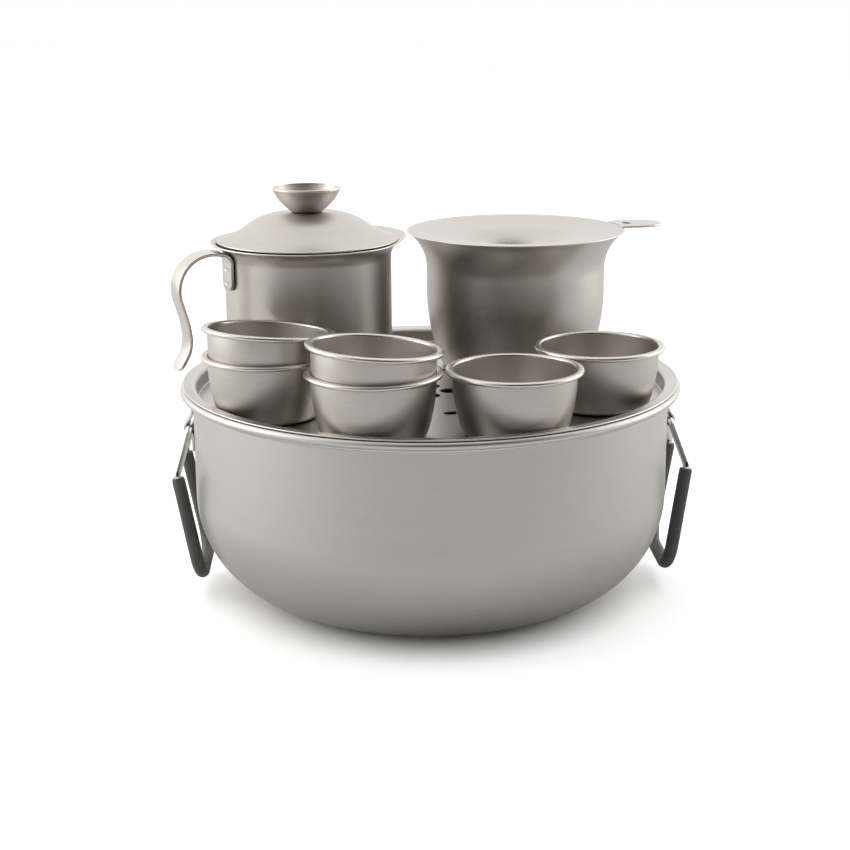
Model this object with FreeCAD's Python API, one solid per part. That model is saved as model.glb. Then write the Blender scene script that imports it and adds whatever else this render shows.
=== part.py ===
import FreeCAD, Part

import math
import os

# A camping cook pot with two folding bail handles.  A shallow drain tray rests
# on its rim and carries a lidded teapot, a pouring jug with a strainer and six
# drinking cups.  Everything is drawn from thin sheet metal.
#
# Frame: the origin is the centre of the pot's flat base.  X points right,
# Y points to the back and Z points up.  All sizes are millimetres and all
# angles are degrees.

Vector = FreeCAD.Vector
UP = Vector(0, 0, 1)

# ---------------------------------------------------------------- gaps ----
curl_gap = 0.3              # from the cut edge of a rolled rim to its wall
tray_clearance = 0.4        # tray wall to pot wall, all round
lid_seat_gap = 0.05         # lid edge above the flared mouth it rests in
strainer_seat_gap = 0.2     # strainer rim above the lip of the jug
nest_gap = 0.15             # between two nested cups where they come closest
cup_gap = 0.7               # between the rims of two cups side by side
cup_wall_gap = 0.55         # between a cup and the wall of the tray
teapot_gap = 0.9            # between the teapot and the rim of the first cup
jug_gap = 2.3               # between the teapot's rim and the strainer rim
bracket_gap = 0.05          # behind a strap that is spot welded to a wall
pivot_clearance = 0.08      # wire in the bracket's crown, radial
sleeve_clearance = 0.02     # grip sleeve on the wire, radial
rivet_clearance = 0.03      # rivet shank in its holes, radial

# ----------------------------------------------------------------- pot ----
pot_sheet = 0.7
pot_radius = 89.7           # outside of the straight wall
pot_height = 82.4           # base to the top of the rolled rim
pot_corner_radius = 40.0    # the deep outside bend between wall and base
pot_bead_height = 3.1
pot_bead_reach = 4.6        # how far the rolled rim stands out from the wall
pot_step = 0.35             # the mouth is this much wider than the wall
pot_step_radius = 0.75
pot_step_drop = 5.0         # rim top to the lower end of that step

# ---------------------------------------------------------------- tray ----
tray_sheet = 0.6
tray_depth = 6.0            # flange top to floor
tray_corner_radius = 1.4    # outside
tray_roll_radius = 1.9      # outside bend from the wall to the flange
tray_flange_setback = 0.8   # flange edge inside the edge of the pot's rim
drain_hole_radius = 3.8
drain_hole_ring = 7.5
drain_hole_count = 4
drain_slot_width = 4.4
drain_slot_ring = 35.0
drain_slot_count = 8
drain_slot_land = 22.4      # angle between the ends of two slots

# ---------------------------------------------------------------- cups ----
cup_sheet = 0.4
cup_radius = 21.7           # outside of the wall under the rim
cup_height = 23.2
cup_straight = 1.2          # height of the upright stretch at the mouth
cup_side_curve = 66.0       # radius of the bowed side, seen from the side
cup_corner_radius = 3.5
cup_bead_height = 1.84
cup_bead_reach = 2.22
cup_ring_start = 211.7      # azimuth of the first of four places for cups
cup_ring_last_step = 1.5    # extra angle before the last place
cup_ring_last_inset = 1.95  # the last place stands this much further in
first_stack_lean = 5.6      # tilt of the upper cup in the first stack
first_stack_lean_azimuth = 48.0
second_stack_lean = 4.6
second_stack_lean_azimuth = 23.0

# -------------------------------------------------------------- teapot ----
teapot_sheet = 0.6
teapot_radius = 32.0        # outside of the straight wall
teapot_height = 55.2        # floor to the top of the rim
teapot_corner_radius = 8.0
teapot_flare_radius = 6.0   # outside bend of the mouth
teapot_flare_angle = 82.0
teapot_beak_azimuth = 41.5
teapot_beak_reach = 3.7     # the beak pushes the rim out by this much
teapot_beak_spread = 35.5
teapot_beak_lift = 1.4      # and raises it
teapot_lift_spread = 45.0
teapot_beak_pinch = 1.8     # the rim is pinched in on both sides of the beak
teapot_pinch_angle = 49.0
teapot_pinch_spread = 19.6
flare_ring_points = 72      # points of each curve round the mouth
flare_ring_count = 6        # curves from the wall to the lip
teapot_bearing = 78.4       # direction from the first cup to the teapot

# ------------------------------------------------------ teapot handle ----
handle_thickness = 1.2
handle_width = 10.0
handle_azimuth = 206.0
handle_foot_drop = 10.264   # foot of the mouth's flare to the strap's lower end
handle_foot_length = 10.4
handle_neck_radius = 3.8    # the four bends, on the strap's centre line
handle_neck_angle = 82.5
handle_neck_run = 2.5
handle_crown_radius = 13.2
handle_crown_angle = 113.4
handle_grip_run = 7.1
handle_waist_radius = 29.4
handle_waist_angle = 9.0
handle_waist_run = 2.0
handle_tail_radius = 12.8
handle_tail_angle = 37.5
handle_tail_run = 5.8
handle_end_round = 3.4      # corner rounding at both ends of the strap
weld_dot_radius = 0.8
weld_dot_depth = 0.2
handle_dot_spacing = 5.2

# ------------------------------------------------------- lid and knob ----
lid_sheet = 0.6
lid_reach = 3.26            # edge of the lid outside the teapot's inner wall
lid_land_radius = 9.0       # flat seat for the knob
lid_dome_curve = 24.4
lid_brim_width = 10.86
lid_brim_curve = 27.0       # the brim sweeps out flat with this radius
knob_sheet = 0.8
knob_base_radius = 5.2
knob_foot_bend = 1.0
knob_foot_angle = 34.0      # slope of the bowl's side at its foot
knob_bowl_curve = 21.0
knob_bowl_angle = 34.0      # and how much steeper it gets towards its lip
knob_bead_radius = 0.65     # the rolled lip
rivet_radius = 1.5
rivet_head_radius = 2.8
rivet_head_height = 0.9
washer_radius = 3.6
washer_height = 0.8

# ----------------------------------------------------------------- jug ----
jug_sheet = 0.5
jug_radius = 35.4           # outside of the upright stretch
jug_side_height = 31.0      # floor to the top of the bowed side
jug_straight = 9.0
jug_corner_radius = 4.5
jug_side_curve = 75.0
jug_flare_radius = 18.2
jug_flare_angle = 52.8
jug_bearing = 16.6          # direction from the teapot to the jug

# ------------------------------------------------------------ strainer ----
strainer_sheet = 0.5
strainer_overhang = 0.6537  # its edge outside the lip of the jug
strainer_rim_run = 1.8      # flat stretch at the edge
strainer_rim_bend = 10.0
strainer_slope = 8.0
strainer_throat_radius = 6.0
strainer_well_radius = 13.0
strainer_well_depth = 12.0  # upright wall of the well
strainer_well_draft = 6.0
strainer_well_corner = 2.5
strainer_hole_radius = 0.8
strainer_hole_pitch = 2.7
strainer_hole_rings = 3
tab_azimuth = 13.7
tab_length = 17.75          # strainer edge to the tip of the tab
tab_width = 17.5
tab_thickness = 0.9
tab_overlap = 0.4           # how far the tab runs in under the strainer rim
tab_slot_length = 5.0
tab_slot_width = 3.0
tab_slot_setback = 3.4      # strainer edge to the middle of the slot

# --------------------------------------------------------------- bails ----
bail_azimuth = 2.4          # the right bail; the left one is opposite
right_bail_swing = 1.9      # the right bail hangs this much further out
bail_pivot_drop = 17.2      # rim top to the axis of the bail
bail_wire_radius = 1.4
bail_axle_half = 8.0        # half the straight stretch through the bracket
bail_axle_bend = 3.2
bail_shoulder_half = 17.9   # half the width across the shoulders
bail_shoulder_drop = 14.4
bail_shoulder_out = 4.1
bail_shoulder_bend = 3.0
bail_grip_half = 19.6
bail_grip_drop = 54.9
bail_grip_in = 3.5          # the grip hangs this much further in
bail_grip_bend = 9.5
bail_end_gap = 0.6          # between the two ends of the wire, in the grip
sleeve_radius = 2.45
sleeve_start = 0.2          # shoulder bend to the end of the sleeve
strap_thickness = 0.9
strap_width = 9.0
strap_upper_length = 2.85
strap_lower_length = 6.5
strap_slope_angle = 35.0
strap_slope_bend = 2.5
strap_return_bend = 1.05
strap_dot_offset = 2.2


# ------------------------------------------------- worked out from these ----
floor_top = pot_height + tray_sheet - tray_depth
tray_inner_radius = pot_radius - pot_sheet - tray_clearance - tray_sheet
pot_bead_radius = pot_radius + pot_bead_reach
cup_bead_radius = cup_radius + cup_bead_reach
lid_radius = teapot_radius - teapot_sheet + lid_reach
jug_lip_radius = jug_radius + jug_flare_radius * (1 - math.cos(math.radians(jug_flare_angle)))
strainer_radius = jug_lip_radius + strainer_overhang


def direction(azimuth):
    """Level unit vector that points at an azimuth, counted from +X to +Y."""
    return Vector(math.cos(math.radians(azimuth)), math.sin(math.radians(azimuth)), 0)


# ------------------------------------------------------ bent sections ----
def run(length):
    """A straight stretch of a path."""
    return ("run", length, 0.0)


def bend(radius, angle):
    """A round stretch of a path, to the left where the angle is positive."""
    return ("bend", radius, angle)


def trace(start, heading, moves, offset=0.0):
    """Edges and end of the line that keeps `offset` to the left of a path.

    The path lies in the XZ plane.  It leaves `start` at `heading` and follows
    the moves.
    """
    x, z = start
    angle = math.radians(heading)
    edges = []

    def beside(px, pz, way):
        return Vector(px - offset * math.sin(way), 0, pz + offset * math.cos(way))

    for kind, size, turn in moves:
        if size < 1e-6:
            continue
        before = beside(x, z, angle)
        if kind == "run":
            x += size * math.cos(angle)
            z += size * math.sin(angle)
            edges.append(Part.LineSegment(before, beside(x, z, angle)).toShape())
            continue
        side = 1.0 if turn > 0 else -1.0
        cx = x - side * size * math.sin(angle)
        cz = z + side * size * math.cos(angle)
        points = []
        for share in (0.5, 1.0):
            way = angle + math.radians(turn) * share
            px = cx + side * size * math.sin(way)
            pz = cz - side * size * math.cos(way)
            points.append((px, pz, way))
        x, z, angle = points[1]
        edges.append(Part.Arc(before, beside(*points[0]), beside(*points[1])).toShape())
    return edges, (x, z)


def cap(first, second, way, rounded):
    """Edge that closes the end of a section, straight or half round."""
    if not rounded:
        return Part.LineSegment(first, second).toShape()
    middle = (first + second) * 0.5 + way * (first.distanceToPoint(second) / 2)
    return Part.Arc(first, middle, second).toShape()


def bent_section(start, heading, moves, left, right, rounded=False):
    """Face between the lines `left` and `right` of a path, both in mm."""
    left_edges, end = trace(start, heading, moves, left)
    right_edges, end = trace(start, heading, moves, -right)
    final = heading + sum(turn for kind, size, turn in moves if kind == "bend")
    way = Vector(math.cos(math.radians(final)), 0, math.sin(math.radians(final)))
    left_end = left_edges[-1].valueAt(left_edges[-1].LastParameter)
    right_end = right_edges[-1].valueAt(right_edges[-1].LastParameter)
    left_start = left_edges[0].valueAt(left_edges[0].FirstParameter)
    right_start = right_edges[0].valueAt(right_edges[0].FirstParameter)
    closing = [cap(left_end, right_end, way, rounded)]
    closing.append(Part.LineSegment(right_start, left_start).toShape())
    edges = Part.__sortEdges__(left_edges + right_edges + closing)
    return Part.Face(Part.Wire(edges))


def turned(section):
    """Solid made by turning a section in the XZ plane about the Z axis."""
    return section.revolve(Vector(0, 0, 0), UP, 360)


def drawn_sheet(start, moves, sheet, rounded=False):
    """Round vessel of sheet metal whose outside follows a path from its axis."""
    return turned(bent_section(start, 0.0, moves, sheet, 0.0, rounded))


def rolled_rim(wall_outside, sheet, bead_height, bead_reach, gap=curl_gap):
    """Moves that roll the top of an upright wall outwards into a bead."""
    bend_inside = bead_height / 2 - sheet
    flat = bead_reach + sheet - bead_height
    underside = bead_reach - bead_height / 2 - gap
    over = [bend(bend_inside, -90), run(flat), bend(bend_inside, -180)]
    return over + [run(underside)]


def bowed_side(radius, height, corner, curve):
    """Moves for a flat base, a corner and a bowed side that ends upright.

    The outside reaches `radius` at `height`, and the base's size follows.
    """
    lean = math.acos((height - corner) / (curve - corner))
    base = radius - corner * math.sin(lean) - curve * (1 - math.sin(lean))
    lean_degrees = math.degrees(lean)
    return [run(base), bend(corner, lean_degrees), bend(curve, 90 - lean_degrees)]


# ----------------------------------------------------------------- pot ----
def make_pot():
    """Deep pot with a stepped mouth and a rolled rim."""
    step_angle = math.degrees(math.acos(1 - pot_step / (2 * pot_step_radius)))
    step_height = 2 * pot_step_radius * math.sin(math.radians(step_angle))
    step_foot = pot_height - pot_step_drop
    mouth_top = pot_height - pot_bead_height / 2
    moves = [run(pot_radius - pot_corner_radius), bend(pot_corner_radius, 90)]
    moves += [run(step_foot - pot_corner_radius)]
    moves += [bend(pot_step_radius, -step_angle), bend(pot_step_radius, step_angle)]
    moves += [run(mouth_top - step_foot - step_height)]
    reach = pot_bead_reach - pot_step
    moves += rolled_rim(pot_radius + pot_step, pot_sheet, pot_bead_height, reach)
    return drawn_sheet((0, 0), moves, pot_sheet)


# ---------------------------------------------------------------- tray ----
def slot_cutter(ring, width, half_angle, depth):
    """Prism of a curved slot with round ends, centred on the +X side."""
    inner = ring - width / 2
    outer = ring + width / 2
    first = direction(-half_angle)
    last = direction(half_angle)
    edges = [
        Part.Arc(first * outer, Vector(outer, 0, 0), last * outer).toShape(),
        Part.Arc(last * outer, last * ring + direction(half_angle + 90) * (width / 2),
                 last * inner).toShape(),
        Part.Arc(last * inner, Vector(inner, 0, 0), first * inner).toShape(),
        Part.Arc(first * inner, first * ring + direction(-half_angle - 90) * (width / 2),
                 first * outer).toShape(),
    ]
    return Part.Face(Part.Wire(edges)).extrude(UP * depth)


def make_tray():
    """Shallow tray whose flange rests on the pot's rim, with drain openings."""
    underside = floor_top - tray_sheet
    roll_inside = tray_roll_radius - tray_sheet
    wall_outside = tray_inner_radius + tray_sheet
    wall_height = pot_height - roll_inside - underside - tray_corner_radius
    flange_edge = pot_bead_radius - tray_flange_setback - tray_sheet / 2
    moves = [run(wall_outside - tray_corner_radius), bend(tray_corner_radius, 90)]
    moves += [run(wall_height), bend(roll_inside, -90)]
    moves += [run(flange_edge - wall_outside - roll_inside)]
    tray = drawn_sheet((0, underside), moves, tray_sheet, rounded=True)

    cutters = []
    depth = 3 * tray_sheet
    below = Vector(0, 0, underside - tray_sheet)
    for index in range(drain_hole_count):
        azimuth = 360.0 * index / drain_hole_count - 90
        centre = direction(azimuth) * drain_hole_ring + below
        cutters.append(Part.makeCylinder(drain_hole_radius, depth, centre))
    pitch = 360.0 / drain_slot_count
    half_angle = (pitch - drain_slot_land) / 2
    for index in range(drain_slot_count):
        slot = slot_cutter(drain_slot_ring, drain_slot_width, half_angle, depth)
        slot.translate(below)
        slot.rotate(Vector(0, 0, 0), UP, pitch * (index + 0.5) - 90)
        cutters.append(slot)
    return tray.cut(cutters)


# ---------------------------------------------------------------- cups ----
def make_cup():
    """One drinking cup, standing on the origin."""
    side_height = cup_height - cup_straight
    moves = bowed_side(cup_radius, side_height, cup_corner_radius, cup_side_curve)
    moves += [run(cup_straight - cup_bead_height / 2)]
    moves += rolled_rim(cup_radius, cup_sheet, cup_bead_height, cup_bead_reach)
    return drawn_sheet((0, 0), moves, cup_sheet)


def cup_radius_at(height):
    """Outside radius of a cup's bowed side at a height above its base."""
    below = cup_height - cup_straight - height
    return cup_radius - cup_side_curve + math.sqrt(cup_side_curve ** 2 - below ** 2)


def nest_drop():
    """Height on a nested cup from its contact ring to its widest level.

    It sinks until its bowed side, which narrows downwards, comes within the
    nest gap of the lower cup's mouth.
    """
    narrowing = cup_sheet + nest_gap
    return math.sqrt(narrowing * (2 * cup_side_curve - narrowing))


def nest_rise():
    """How far a cup that stands in another one is raised above it."""
    return nest_drop() + cup_straight - cup_bead_height / 2


def nest_pivot():
    """Height on a nested cup's axis of the point about which it can lean.

    The normals of the bowed side meet there all round the contact ring, so a
    leaning cup keeps its even gap to the mouth below.
    """
    level = math.sqrt(cup_side_curve ** 2 - nest_drop() ** 2)
    below = nest_drop() * (cup_side_curve - cup_radius) / level
    return cup_height - cup_straight - below


def cup_places():
    """Centres of the four places for cups, along the tray's front wall."""
    wall_height = tray_depth - tray_roll_radius
    ring = tray_inner_radius - cup_wall_gap - cup_radius_at(wall_height)
    pitch = 2 * cup_bead_radius + cup_gap
    step = 2 * math.degrees(math.asin(pitch / (2 * ring)))
    places = [direction(cup_ring_start + step * index) * ring for index in range(3)]
    last = cup_ring_start + 3 * step + cup_ring_last_step
    places.append(direction(last) * (ring - cup_ring_last_inset))
    return [place + UP * floor_top for place in places]


def stacked_cup(place, lean, azimuth):
    """A cup that leans in the mouth of the cup standing at `place`."""
    cup = make_cup()
    cup.rotate(Vector(0, 0, nest_pivot()), direction(azimuth + 90), lean)
    cup.translate(place + UP * nest_rise())
    return cup


def standing_cup(place):
    """A cup that stands upright at `place`."""
    cup = make_cup()
    cup.translate(place)
    return cup


# -------------------------------------------------------------- teapot ----
def hump(angle, centre, spread):
    """Smooth rise to 1 at `centre` that fades out on both sides of it."""
    return math.exp(-((angle - centre) / spread) ** 2)


def beak_stretch(azimuth):
    """Flare's width at an azimuth counted from the beak, over its even width.

    An even flare, plus a rounded beak, less a pinch on each side of it.
    """
    even = teapot_flare_radius * (1 - math.cos(math.radians(teapot_flare_angle)))
    angle = (azimuth + 180.0) % 360.0 - 180.0
    wider = teapot_beak_reach * hump(angle, 0, teapot_beak_spread)
    for side in (-1, 1):
        centre = side * teapot_pinch_angle
        wider -= teapot_beak_pinch * hump(angle, centre, teapot_pinch_spread)
    return 1 + wider / even


def beak_lift(azimuth, turned_share):
    """How much the beak raises the flare, of which this share lies inside."""
    angle = (azimuth + 180.0) % 360.0 - 180.0
    return teapot_beak_lift * turned_share * hump(angle, 0, teapot_lift_spread)


def flare_foot():
    """Height at which the teapot's wall starts to flare."""
    inner_flare = teapot_flare_radius + teapot_sheet
    return teapot_height - inner_flare * math.sin(math.radians(teapot_flare_angle))


def flare_share(turn):
    """Share of the flare's width that lies inside where its bend turned so far."""
    full = 1 - math.cos(math.radians(teapot_flare_angle))
    return (1 - math.cos(math.radians(turn))) / full


def flare_ring(base_radius, flare_radius, turn):
    """Closed curve round the flared mouth where its bend has turned by `turn`."""
    out = flare_radius * (1 - math.cos(math.radians(turn)))
    height = flare_foot() + flare_radius * math.sin(math.radians(turn))
    if turn == 0:
        return Part.Wire(Part.Circle(Vector(0, 0, height), UP, base_radius).toShape())
    points = []
    for index in range(flare_ring_points):
        azimuth = 360.0 * index / flare_ring_points
        radius = base_radius + out * beak_stretch(azimuth)
        lift = beak_lift(azimuth, flare_share(turn))
        points.append(direction(azimuth) * radius + UP * (height + lift))
    curve = Part.BSplineCurve()
    curve.interpolate(points, PeriodicFlag=True)
    return Part.Wire(curve.toShape())


def skin(moves, bottom):
    """Faces swept by a path that starts on the axis at height `bottom`."""
    edges, end = trace((0, bottom), 0.0, moves)
    return [edge.revolve(Vector(0, 0, 0), UP, 360) for edge in edges]


def make_teapot_body():
    """Straight-sided teapot whose flared mouth is drawn out into a beak."""
    inner_flare = teapot_flare_radius + teapot_sheet
    inside = teapot_radius - teapot_sheet
    wall = flare_foot() - teapot_corner_radius
    flat = teapot_radius - teapot_corner_radius
    last = flare_ring_count - 1
    turns = [teapot_flare_angle * index / last for index in range(flare_ring_count)]

    outer_rings = [flare_ring(teapot_radius, teapot_flare_radius, turn) for turn in turns]
    inner_rings = [flare_ring(inside, inner_flare, turn) for turn in turns]
    bend_inside = teapot_corner_radius - teapot_sheet
    skins = skin([run(flat), bend(teapot_corner_radius, 90), run(wall)], 0)
    skins.append(Part.makeLoft(outer_rings, False, False))
    skins.append(Part.makeLoft([outer_rings[-1], inner_rings[-1]], False, True))
    skins.append(Part.makeLoft(inner_rings, False, False))
    skins += skin([run(flat), bend(bend_inside, 90), run(wall)], teapot_sheet)
    closed = Part.makeShell([face for part in skins for face in part.Faces])
    closed.sewShape()
    body = Part.makeSolid(closed)
    if body.Volume < 0:
        body.reverse()
    body.rotate(Vector(0, 0, 0), UP, teapot_beak_azimuth)
    return body


def mouth_height_at(radius):
    """Height above the teapot's base at which a ring comes to rest in its mouth.

    That is the highest level of the mouth's upper face at this radius, which
    it reaches where the beak pinches it in.
    """
    inner_flare = teapot_flare_radius + teapot_sheet
    inside = teapot_radius - teapot_sheet
    heights = []
    for index in range(flare_ring_points):
        azimuth = 360.0 * index / flare_ring_points
        out = (radius - inside) / beak_stretch(azimuth)
        turn = math.degrees(math.acos(1 - out / inner_flare))
        lift = beak_lift(azimuth, flare_share(turn))
        heights.append(flare_foot() + inner_flare * math.sin(math.radians(turn)) + lift)
    return max(heights)


def teapot_rim_radius(azimuth):
    """Radius of the teapot's lip at an azimuth of the whole set."""
    even = teapot_flare_radius * (1 - math.cos(math.radians(teapot_flare_angle)))
    return teapot_radius + even * beak_stretch(azimuth - teapot_beak_azimuth)


def weld_dot(centre, outward):
    """Shallow round dent that a spot weld leaves, cut in from `centre`."""
    start = centre - outward * weld_dot_depth
    return Part.makeCylinder(weld_dot_radius, 2 * weld_dot_depth, start, outward)


def make_handle():
    """Open strap handle, bent from flat stock and spot welded to the wall."""
    centre_line = teapot_radius + bracket_gap + handle_thickness / 2
    moves = [run(handle_foot_length), bend(handle_neck_radius, -handle_neck_angle)]
    moves += [run(handle_neck_run), bend(handle_crown_radius, -handle_crown_angle)]
    moves += [run(handle_grip_run), bend(handle_waist_radius, handle_waist_angle)]
    moves += [run(handle_waist_run), bend(handle_tail_radius, handle_tail_angle)]
    moves += [run(handle_tail_run)]
    half = handle_thickness / 2
    foot_height = flare_foot() - handle_foot_drop
    foot = (centre_line, foot_height)
    section = bent_section(foot, 90.0, moves, half, half)
    section.translate(Vector(0, -handle_width / 2, 0))
    strap = section.extrude(Vector(0, handle_width, 0))
    corners = [e for e in strap.Edges if abs(e.Length - handle_thickness) < 1e-4]
    strap = strap.makeFillet(handle_end_round, corners)
    first_dot = foot_height + handle_foot_length / 2 - handle_dot_spacing / 2
    face = centre_line + half
    dots = []
    for height in (first_dot, first_dot + handle_dot_spacing):
        dots.append(weld_dot(Vector(face, 0, height), Vector(1, 0, 0)))
    strap = strap.cut(dots)
    strap.rotate(Vector(0, 0, 0), UP, handle_azimuth)
    return strap


# -------------------------------------------------------- lid and knob ----
def lid_moves():
    """Path of the lid's upper face, from its centre to its edge."""
    dome_width = lid_radius - lid_brim_width - lid_land_radius
    steepest = dome_width / lid_dome_curve
    dome_angle = math.degrees(math.asin(steepest))
    edge_angle = math.degrees(math.asin(steepest - lid_brim_width / lid_brim_curve))
    moves = [run(lid_land_radius), bend(lid_dome_curve, -dome_angle)]
    return moves + [bend(lid_brim_curve, dome_angle - edge_angle)]


def lid_land_height():
    """Height of the flat seat for the knob above the teapot's base."""
    edges, end = trace((0, 0), 0.0, lid_moves())
    edge_top = mouth_height_at(lid_radius) + lid_seat_gap + lid_sheet
    return edge_top - end[1]


def rivet_hole(height):
    """Cutter for the rivet's hole through sheet around a height."""
    span = 2 * (knob_sheet + lid_sheet)
    return Part.makeCylinder(rivet_radius + rivet_clearance, span, Vector(0, 0, height - span / 2))


def make_lid():
    """Domed lid with a brim that sweeps out flat, seated in the flared mouth."""
    land = lid_land_height()
    section = bent_section((0, land), 0.0, lid_moves(), 0.0, lid_sheet, rounded=True)
    return turned(section).cut(rivet_hole(land))


def make_knob():
    """Knob in the form of a small open bowl."""
    land = lid_land_height()
    moves = [run(knob_base_radius), bend(knob_foot_bend, knob_foot_angle)]
    moves += [bend(knob_bowl_curve, knob_bowl_angle)]
    bowl = drawn_sheet((0, land), moves, knob_sheet)
    edges, lip = trace((0, land), 0.0, moves, knob_sheet / 2)
    middle = edges[-1].valueAt(edges[-1].LastParameter)
    bead = Part.makeTorus(middle.x, knob_bead_radius, Vector(0, 0, middle.z))
    return bowl.fuse(bead).cut(rivet_hole(land))


def make_knob_rivet():
    """Rivet through knob and lid: domed head above, round collar below."""
    land = lid_land_height()
    head_foot = land + knob_sheet
    collar_top = land - lid_sheet
    collar = Part.makeCylinder(washer_radius, washer_height,
                               Vector(0, 0, collar_top - washer_height))
    shank = Part.makeCylinder(rivet_radius, head_foot - collar_top, Vector(0, 0, collar_top))
    curve = (rivet_head_radius ** 2 + rivet_head_height ** 2) / (2 * rivet_head_height)
    ball = Part.makeSphere(curve, Vector(0, 0, head_foot + rivet_head_height - curve))
    above = Part.makeBox(2 * curve, 2 * curve, curve, Vector(-curve, -curve, head_foot))
    return collar.fuse([shank, ball.common(above)])


# ----------------------------------------------------------------- jug ----
def jug_moves():
    """Path of the jug's outside: bowed side, upright neck, trumpet mouth."""
    moves = bowed_side(jug_radius, jug_side_height, jug_corner_radius, jug_side_curve)
    return moves + [run(jug_straight), bend(jug_flare_radius, -jug_flare_angle)]


def make_jug():
    """Pouring jug without a handle."""
    return drawn_sheet((0, 0), jug_moves(), jug_sheet, rounded=True)


def jug_lip_height():
    """Highest point of the jug's rounded lip above its base."""
    edges, end = trace((0, 0), 0.0, jug_moves(), jug_sheet / 2)
    middle = edges[-1].valueAt(edges[-1].LastParameter)
    return middle.z + jug_sheet / 2


# ------------------------------------------------------------ strainer ----
def strainer_moves():
    """Path of the strainer's underside, from the well's floor to the edge."""
    wall_angle = 90.0 - strainer_well_draft
    start = [run(strainer_well_radius - strainer_well_corner)]
    start += [bend(strainer_well_corner, wall_angle), run(strainer_well_depth)]
    start += [bend(strainer_throat_radius - strainer_sheet, strainer_slope - wall_angle)]
    finish = [bend(strainer_rim_bend, -strainer_slope), run(strainer_rim_run)]
    edges, start_end = trace((0, 0), 0.0, start)
    edges, finish_end = trace((0, 0), strainer_slope, finish)
    across = strainer_radius - strainer_sheet / 2 - start_end[0] - finish_end[0]
    slope_run = across / math.cos(math.radians(strainer_slope))
    return start + [run(slope_run)] + finish


def strainer_holes(floor):
    """Cutters for rings of small holes in the well's floor."""
    cutters = []
    for ring in range(strainer_hole_rings + 1):
        count = max(1, 6 * ring)
        for index in range(count):
            centre = direction(360.0 * index / count) * (ring * strainer_hole_pitch)
            centre += UP * (floor - strainer_sheet)
            cutters.append(Part.makeCylinder(strainer_hole_radius, 3 * strainer_sheet, centre))
    return cutters


def make_tab(rim_underside):
    """Flat finger tab with a round end and a slot, under the strainer rim."""
    half = tab_width / 2
    root = strainer_radius - half
    tip = strainer_radius + tab_length
    shoulder = tip - half
    outline = [
        Part.LineSegment(Vector(root, -half, 0), Vector(shoulder, -half, 0)).toShape(),
        Part.Arc(Vector(shoulder, -half, 0), Vector(tip, 0, 0),
                 Vector(shoulder, half, 0)).toShape(),
        Part.LineSegment(Vector(shoulder, half, 0), Vector(root, half, 0)).toShape(),
        Part.LineSegment(Vector(root, half, 0), Vector(root, -half, 0)).toShape(),
    ]
    tab = Part.Face(Part.Wire(outline)).extrude(UP * tab_thickness)
    slot_x = strainer_radius + tab_slot_setback
    end_round = tab_slot_width / 2
    straight = tab_slot_length - tab_slot_width
    slot = Part.makeBox(tab_slot_width, straight, 3 * tab_thickness,
                        Vector(slot_x - end_round, -straight / 2, -tab_thickness))
    for side in (-1, 1):
        centre = Vector(slot_x, side * straight / 2, -tab_thickness)
        slot = slot.fuse(Part.makeCylinder(end_round, 3 * tab_thickness, centre))
    inside = Part.makeCylinder(strainer_radius - tab_overlap, tab_thickness)
    tab = tab.cut([slot, inside])
    tab.translate(UP * (rim_underside + strainer_sheet - tab_thickness))
    return tab


def make_strainer():
    """Dished strainer with a perforated well, which hangs in the jug's mouth."""
    rim_underside = jug_lip_height() + strainer_seat_gap
    moves = strainer_moves()
    edges, end = trace((0, 0), 0.0, moves)
    floor = rim_underside - end[1]
    dish = drawn_sheet((0, floor), moves, strainer_sheet, rounded=True)
    dish = dish.cut(strainer_holes(floor))
    tab = make_tab(rim_underside)
    tab.rotate(Vector(0, 0, 0), UP, tab_azimuth)
    return dish.fuse(tab)


# --------------------------------------------------------------- bails ----
def rounded_path(points, radii):
    """Wire of straight runs through the points, with each corner rounded."""
    edges = []
    last = points[0]
    for index in range(1, len(points) - 1):
        corner = points[index]
        came = (corner - points[index - 1]).normalize()
        goes = (points[index + 1] - corner).normalize()
        half_turn = came.getAngle(goes) / 2
        radius = radii[index - 1]
        reach = radius * math.tan(half_turn)
        inward = (goes - came).normalize()
        middle = corner + inward * (radius / math.cos(half_turn) - radius)
        edges.append(Part.LineSegment(last, corner - came * reach).toShape())
        arc = Part.Arc(corner - came * reach, middle, corner + goes * reach)
        edges.append(arc.toShape())
        last = corner + goes * reach
    edges.append(Part.LineSegment(last, points[-1]).toShape())
    return Part.Wire(edges)


def rod(path, radius):
    """Round rod along a wire of straights and arcs."""
    edge = path.Edges[0]
    start = edge.valueAt(edge.FirstParameter)
    along = edge.tangentAt(edge.FirstParameter)
    profile = Part.Wire(Part.Circle(start, along, radius).toShape())
    return path.makePipeShell([profile], True, True)


def bail_corners():
    """Corner points of half a bail, from the axle's middle to the grip's end.

    Local frame: X out of the pot, Y along the axle, Z up, origin on the axis.
    """
    shoulder = Vector(bail_shoulder_out, bail_shoulder_half, -bail_shoulder_drop)
    grip = Vector(-bail_grip_in, bail_grip_half, -bail_grip_drop)
    grip_end = Vector(-bail_grip_in, bail_end_gap / 2, -bail_grip_drop)
    return [Vector(0, bail_axle_half, 0), shoulder, grip, grip_end]


def mirrored(points):
    """The same points on the other side of the bail's middle plane."""
    return [Vector(p.x, -p.y, p.z) for p in points]


def place_on_pot(shape, azimuth, swing=0.0):
    """Swing a shape out about the bail's axis and put it in place on the pot."""
    shape.rotate(Vector(0, 0, 0), Vector(0, -1, 0), swing)
    pivot_out = pot_radius + bracket_gap + strap_thickness + bail_wire_inset()
    shape.translate(Vector(pivot_out, 0, pot_height - bail_pivot_drop))
    shape.rotate(Vector(0, 0, 0), UP, azimuth)
    return shape


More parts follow.
